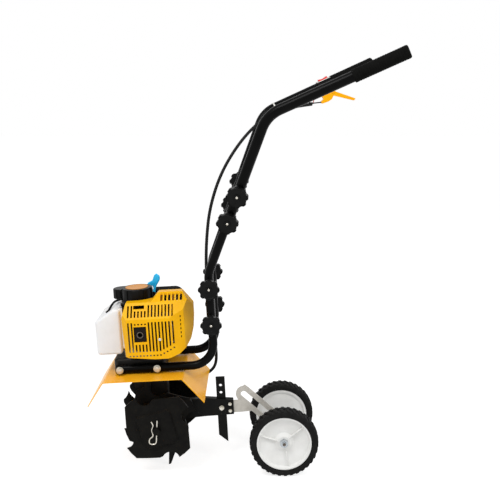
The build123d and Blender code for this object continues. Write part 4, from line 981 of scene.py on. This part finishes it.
def makeWheelWeb(word):
    width = webSettings["outer"] - webSettings["inner"]
    web = ring("wheelWeb" + word.capitalize(), webSettings["inner"], width, webSettings["depth"], vertices=96)
    reach = tyreSettings["track"] / 2 - webSettings["inset"]
    settle(web, wheelPoint(word, reach), machineRight * sides[word])
    dress(web, "whitePolypropylene", "wheel_" + word)


# Axle: dark ends in the nuts, with a centre mark
axleSettings = {"reach": 124.0, "radius": 4.4, "thickness": 1.6, "rim": 2.2, "dimple": 0.7, "edge": 0.3}


def makeAxleEnd(word):
    end = disc("axleEnd" + word.capitalize(), axleSettings["radius"], axleSettings["thickness"], vertices=32)
    insetTop(end, axleSettings["rim"], -axleSettings["dimple"])
    soften(end, axleSettings["edge"])
    settle(end, wheelPoint(word, axleSettings["reach"]), machineRight * sides[word])
    dress(end, "burntSteel", "carriage")


# Grips: shallow rings round a thick sleeve with a rounded end
gripSettings = {
    "start": 211.0, "end": 343.0, "radius": 15.4, "bore": 12.7, "steps": 56,
    "collar": [(-1.6, 0), (-0.4, 0.6), (0, 2)],
    "rings": 20, "ring": [(0, 0), (-0.4, 0.8), (-0.4, 1.8), (0, 2.6)], "smoothEnds": 9.0,
    "edge": 4.5, "dimple": [(6.0, 0), (4.0, -1.2), (0.0, -1.2)],
}


def gripProfile():
    start, end = gripSettings["start"], gripSettings["end"]
    radius, edge = gripSettings["radius"], gripSettings["edge"]
    points = [(gripSettings["bore"], start)] + stepped(radius, start, gripSettings["collar"])
    first = start + gripSettings["smoothEnds"]
    spacing = (end - gripSettings["smoothEnds"] - first) / gripSettings["rings"]
    for index in range(gripSettings["rings"]):
        points += stepped(radius, first + index * spacing, gripSettings["ring"])
    for degrees in range(0, 91, 15):
        turn = math.radians(degrees)
        points.append((radius - edge + edge * math.cos(turn), end - edge + edge * math.sin(turn)))
    return points + stepped(0, end, gripSettings["dimple"])


def makeGrip(word):
    side = sides[word]
    points = [(radius, 0, run) for radius, run in gripProfile()]
    edges = [(index, index + 1) for index in range(len(points) - 1)]
    grip = spun("grip" + word.capitalize(), points, edges, (0, 0, 1), gripSettings["steps"])
    settle(grip, barPoint(0, 0, side), barAlong(side))
    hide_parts("grip_" + word)
    dress(grip, "gripFoam", "bar_" + word)


# Tines: one more hooked tooth on each inner tine, bent up towards the guard
toothSettings = {"face": 57.0, "thickness": 4.0, "edge": 0.6}
toothOutline = [
    (-75, 85), (-71, 74), (-62, 64), (-51, 50), (-47, 28), (-73, 29),
    (-86, 46), (-90, 55), (-90, 62), (-84, 67), (-79, 75),
]


def makeTineTooth(word):
    side = sides[word]
    outline = [atMachine(x, toothSettings["face"], z, side) for x, z in toothOutline]
    tooth = plate("tineTooth" + word.capitalize(), outline, -side * toothSettings["thickness"])
    soften(tooth, toothSettings["edge"])
    dress(tooth, "blackTinePaint", "rotor")


# Star knobs: eight shallow lobes, dished face, raised boss with the stud's bright end in it
knobSettings = {
    "lobes": 8, "lobe": 7.2, "lobeRing": 19.3, "lobeShare": 0.999, "core": 23.4, "thickness": 15.0,
    "edge": 1.2, "dish": 2.2, "dishRim": 3.2,
    "boss": 8.0, "bossShare": 0.98, "bossEdge": 0.8, "bossHole": 4.4, "holeDepth": 3.5,
    "stud": 4.0, "studHold": 4.0, "studEdge": 0.8,
    "cap": 3.0, "capHeight": 3.0, "capRim": 0.9, "capDome": 0.6, "capEdge": 0.3, "capSink": 0.2,
}
upperAxis = (-0.09325, 0.97086, -0.22075)
knobPlaces = {
    "lower_pivot": {"place": (154, 92.3, 264), "axis": (0, 1, 0), "seat": 11.3, "stud": 39.8},
    "lower_lock": {"place": (154, 92.3, 356), "axis": (0, 1, 0), "seat": 11.3, "stud": 39.8},
    "upper_pivot": {"place": (216.1, 131.7, 539.0), "axis": upperAxis, "seat": 36.6, "stud": 17.5},
    "upper_lock": {"place": (242.7, 148.6, 602.0), "axis": upperAxis, "seat": 36.6, "stud": 17.5},
}


def makeKnobForm():
    height = knobSettings["thickness"]
    star = disc("knobForm", knobSettings["core"], height, vertices=64)
    away = knobSettings["lobeRing"]
    for index in range(knobSettings["lobes"]):
        turn = 2 * math.pi * index / knobSettings["lobes"]
        lobe = disc("knobLobe", knobSettings["lobe"], height * knobSettings["lobeShare"], vertices=32)
        shift(lobe, away * math.cos(turn), away * math.sin(turn), 0)
        combine(star, lobe, "UNION")
    insetTop(star, knobSettings["dishRim"], -knobSettings["dish"])
    soften(star, knobSettings["edge"])
    boss = disc("knobBoss", knobSettings["boss"], height * knobSettings["bossShare"], vertices=40)
    insetTop(boss, knobSettings["boss"] - knobSettings["bossHole"])
    extrude(0, 0, -knobSettings["holeDepth"])
    soften(boss, knobSettings["bossEdge"])
    joinPieces(star, [boss])
    shift(star, 0, 0, height / 2)
    return star


def makeKnob(form, name, word):
    label = "".join(part.capitalize() for part in (*name.split("_"), word))
    body = "knob_" + name + "_" + word
    settings = knobPlaces[name]
    axis = alongMachine(*settings["axis"], sides[word])
    seat = atMachine(*settings["place"], sides[word]) + axis * settings["seat"] / 1000
    knob = copyOf(form, "knob" + label)
    hold = knobSettings["studHold"]
    length = settings["stud"] + settings["seat"] + hold
    stud = disc("knobStud", knobSettings["stud"], length, vertices=28)
    shift(stud, 0, 0, hold - length / 2)
    soften(stud, knobSettings["studEdge"])
    joinPieces(knob, [stud])
    settle(knob, seat, axis)
    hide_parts(body)
    dress(knob, "blackPhenolic", body)
    cap = disc("knobCap" + label, knobSettings["cap"], knobSettings["capHeight"], vertices=28)
    insetTop(cap, knobSettings["capRim"], knobSettings["capDome"])
    soften(cap, knobSettings["capEdge"])
    floor = knobSettings["thickness"] - knobSettings["holeDepth"]
    rise = floor + knobSettings["capHeight"] / 2 - knobSettings["capSink"]
    settle(cap, seat + axis * rise / 1000, axis)
    dress(cap, "brightZinc", body)


# Tubes: plastic plugs in the open ends, each with its place, axis, radius and body
plugSettings = {"flange": 1.8, "rimShare": 0.22, "dome": 1.0, "edge": 0.5}
plugPlaces = {
    "Front": ((-98, 70, 149.5), (-1, 0, 0), 10.9, "chassis"),
    "Upright": ((154, 70, 384), (0, 0, 1), 10.9, "chassis"),
    "Middle": ((154, 92.3, 238), (0, 0, -1), 10.9, "mid_"),
    "Bar": ((204.07, 148.57, 510.52), (-0.3778, -0.2396, -0.8943), 12.4, "bar_"),
}


def makeTubePlug(name, word):
    spot, run, radius, body = plugPlaces[name]
    axis = alongMachine(*run, sides[word])
    plug = disc("tubePlug" + name + word.capitalize(), radius, plugSettings["flange"], vertices=40)
    insetTop(plug, radius * plugSettings["rimShare"], plugSettings["dome"])
    soften(plug, plugSettings["edge"])
    settle(plug, atMachine(*spot, sides[word]) + axis * plugSettings["flange"] / 2000, axis)
    dress(plug, "blackNylon", body + word if body.endswith("_") else body)


# Floor, backdrop and two soft lamps, in metres and watts
studioSettings = {
    "floorSize": 40.0, "floorPaint": 0.9, "floorShadow": 0.5, "floorGlow": 1.55,
    "worldStrength": 0.52, "aim": (0, 0, 0.4),
}
lampSettings = {
    "keyLight": {"place": (-1.3, -1.6, 2.9), "power": 46.0, "size": 1.2},
    "fillLight": {"place": (2.0, -1.5, 2.4), "power": 32.0, "size": 1.4},
}


# 1 for the rays that show the floor and backdrop, 0 for those that light the object
def showingRays(tree):
    rays = addNode(tree, "ShaderNodeLightPath")
    seen = rays.outputs["Is Camera Ray"]
    for kind in ("Is Glossy Ray", "Is Transmission Ray"):
        either = addNode(tree, "ShaderNodeMath", {"operation": "MAXIMUM"}, {0: seen, 1: rays.outputs[kind]})
        seen = either.outputs["Value"]
    return seen


def makeFloor():
    deselectAll()
    bpy.ops.mesh.primitive_plane_add(size=studioSettings["floorSize"])
    floor = bpy.context.object
    floor.name = "studioFloor"
    material = bpy.data.materials.new("paleFloor")
    tree = emptyTree(material)
    share = addNode(tree, "ShaderNodeMath", {"operation": "MULTIPLY"}, {
        0: showingRays(tree), 1: 1 - studioSettings["floorShadow"],
    })
    tone = studioSettings["floorPaint"]
    coat = addNode(tree, "ShaderNodeBsdfDiffuse", sockets={"Color": (tone, tone, tone, 1)})
    white = addNode(tree, "ShaderNodeEmission", sockets={
        "Color": (1, 1, 1, 1), "Strength": studioSettings["floorGlow"],
    })
    mix = addNode(tree, "ShaderNodeMixShader", sockets={
        0: share.outputs["Value"], 1: coat.outputs["BSDF"], 2: white.outputs["Emission"],
    })
    addNode(tree, "ShaderNodeOutputMaterial", sockets={"Surface": mix.outputs["Shader"]})
    floor.data.materials.append(material)


def makeBackdrop():
    world = bpy.data.worlds.new("studioWorld")
    bpy.context.scene.world = world
    tree = emptyTree(world)
    strength = addNode(tree, "ShaderNodeMapRange", sockets={
        "Value": showingRays(tree), "To Min": studioSettings["worldStrength"], "To Max": 1.0,
    })
    sky = addNode(tree, "ShaderNodeBackground", sockets={
        "Color": (1, 1, 1, 1), "Strength": strength.outputs["Result"],
    })
    addNode(tree, "ShaderNodeOutputWorld", sockets={"Surface": sky.outputs["Background"]})


def makeStudio():
    makeFloor()
    makeBackdrop()
    for name, settings in lampSettings.items():
        lamp = bpy.data.lights.new(name, "AREA")
        lamp.energy = settings["power"]
        lamp.size = settings["size"]
        holder = addObject(name, lamp)
        holder.location = settings["place"]
        holder.rotation_mode = "QUATERNION"
        aim = Vector(studioSettings["aim"]) - Vector(settings["place"])
        holder.rotation_quaternion = aim.to_track_quat("-Z", "Y")
    bpy.context.scene.view_settings.view_transform = "Standard"
    print("studio ready")


makeCamera()
paintNodes()
makeCable()
makeHose()
makeSwitchWire()
makeInnerCable()
makeControlClamp()
makeSwitch()
makeCableTie()
print("controls made")
makeStarterDisc()
makeChokeLever()
makeStarterRope()
makeGrommet()
makeOutlet()
makeFilterTrim()
screwForm = makeScrewForm()
for screwName in screwPlaces:
    makeScrew(screwForm, screwName)
bpy.data.objects.remove(screwForm)
print("engine trimmed")
knobForm = makeKnobForm()
for word in sides:
    makeTyre(word)
    makeWheelRibs(word)
    makeWheelWeb(word)
    makeAxleEnd(word)
    makeGrip(word)
    makeTineTooth(word)
    for knobName in knobPlaces:
        makeKnob(knobForm, knobName, word)
    for plugName in plugPlaces:
        makeTubePlug(plugName, word)
bpy.data.objects.remove(knobForm)
print("wheels, grips and knobs made")
makeStudio()
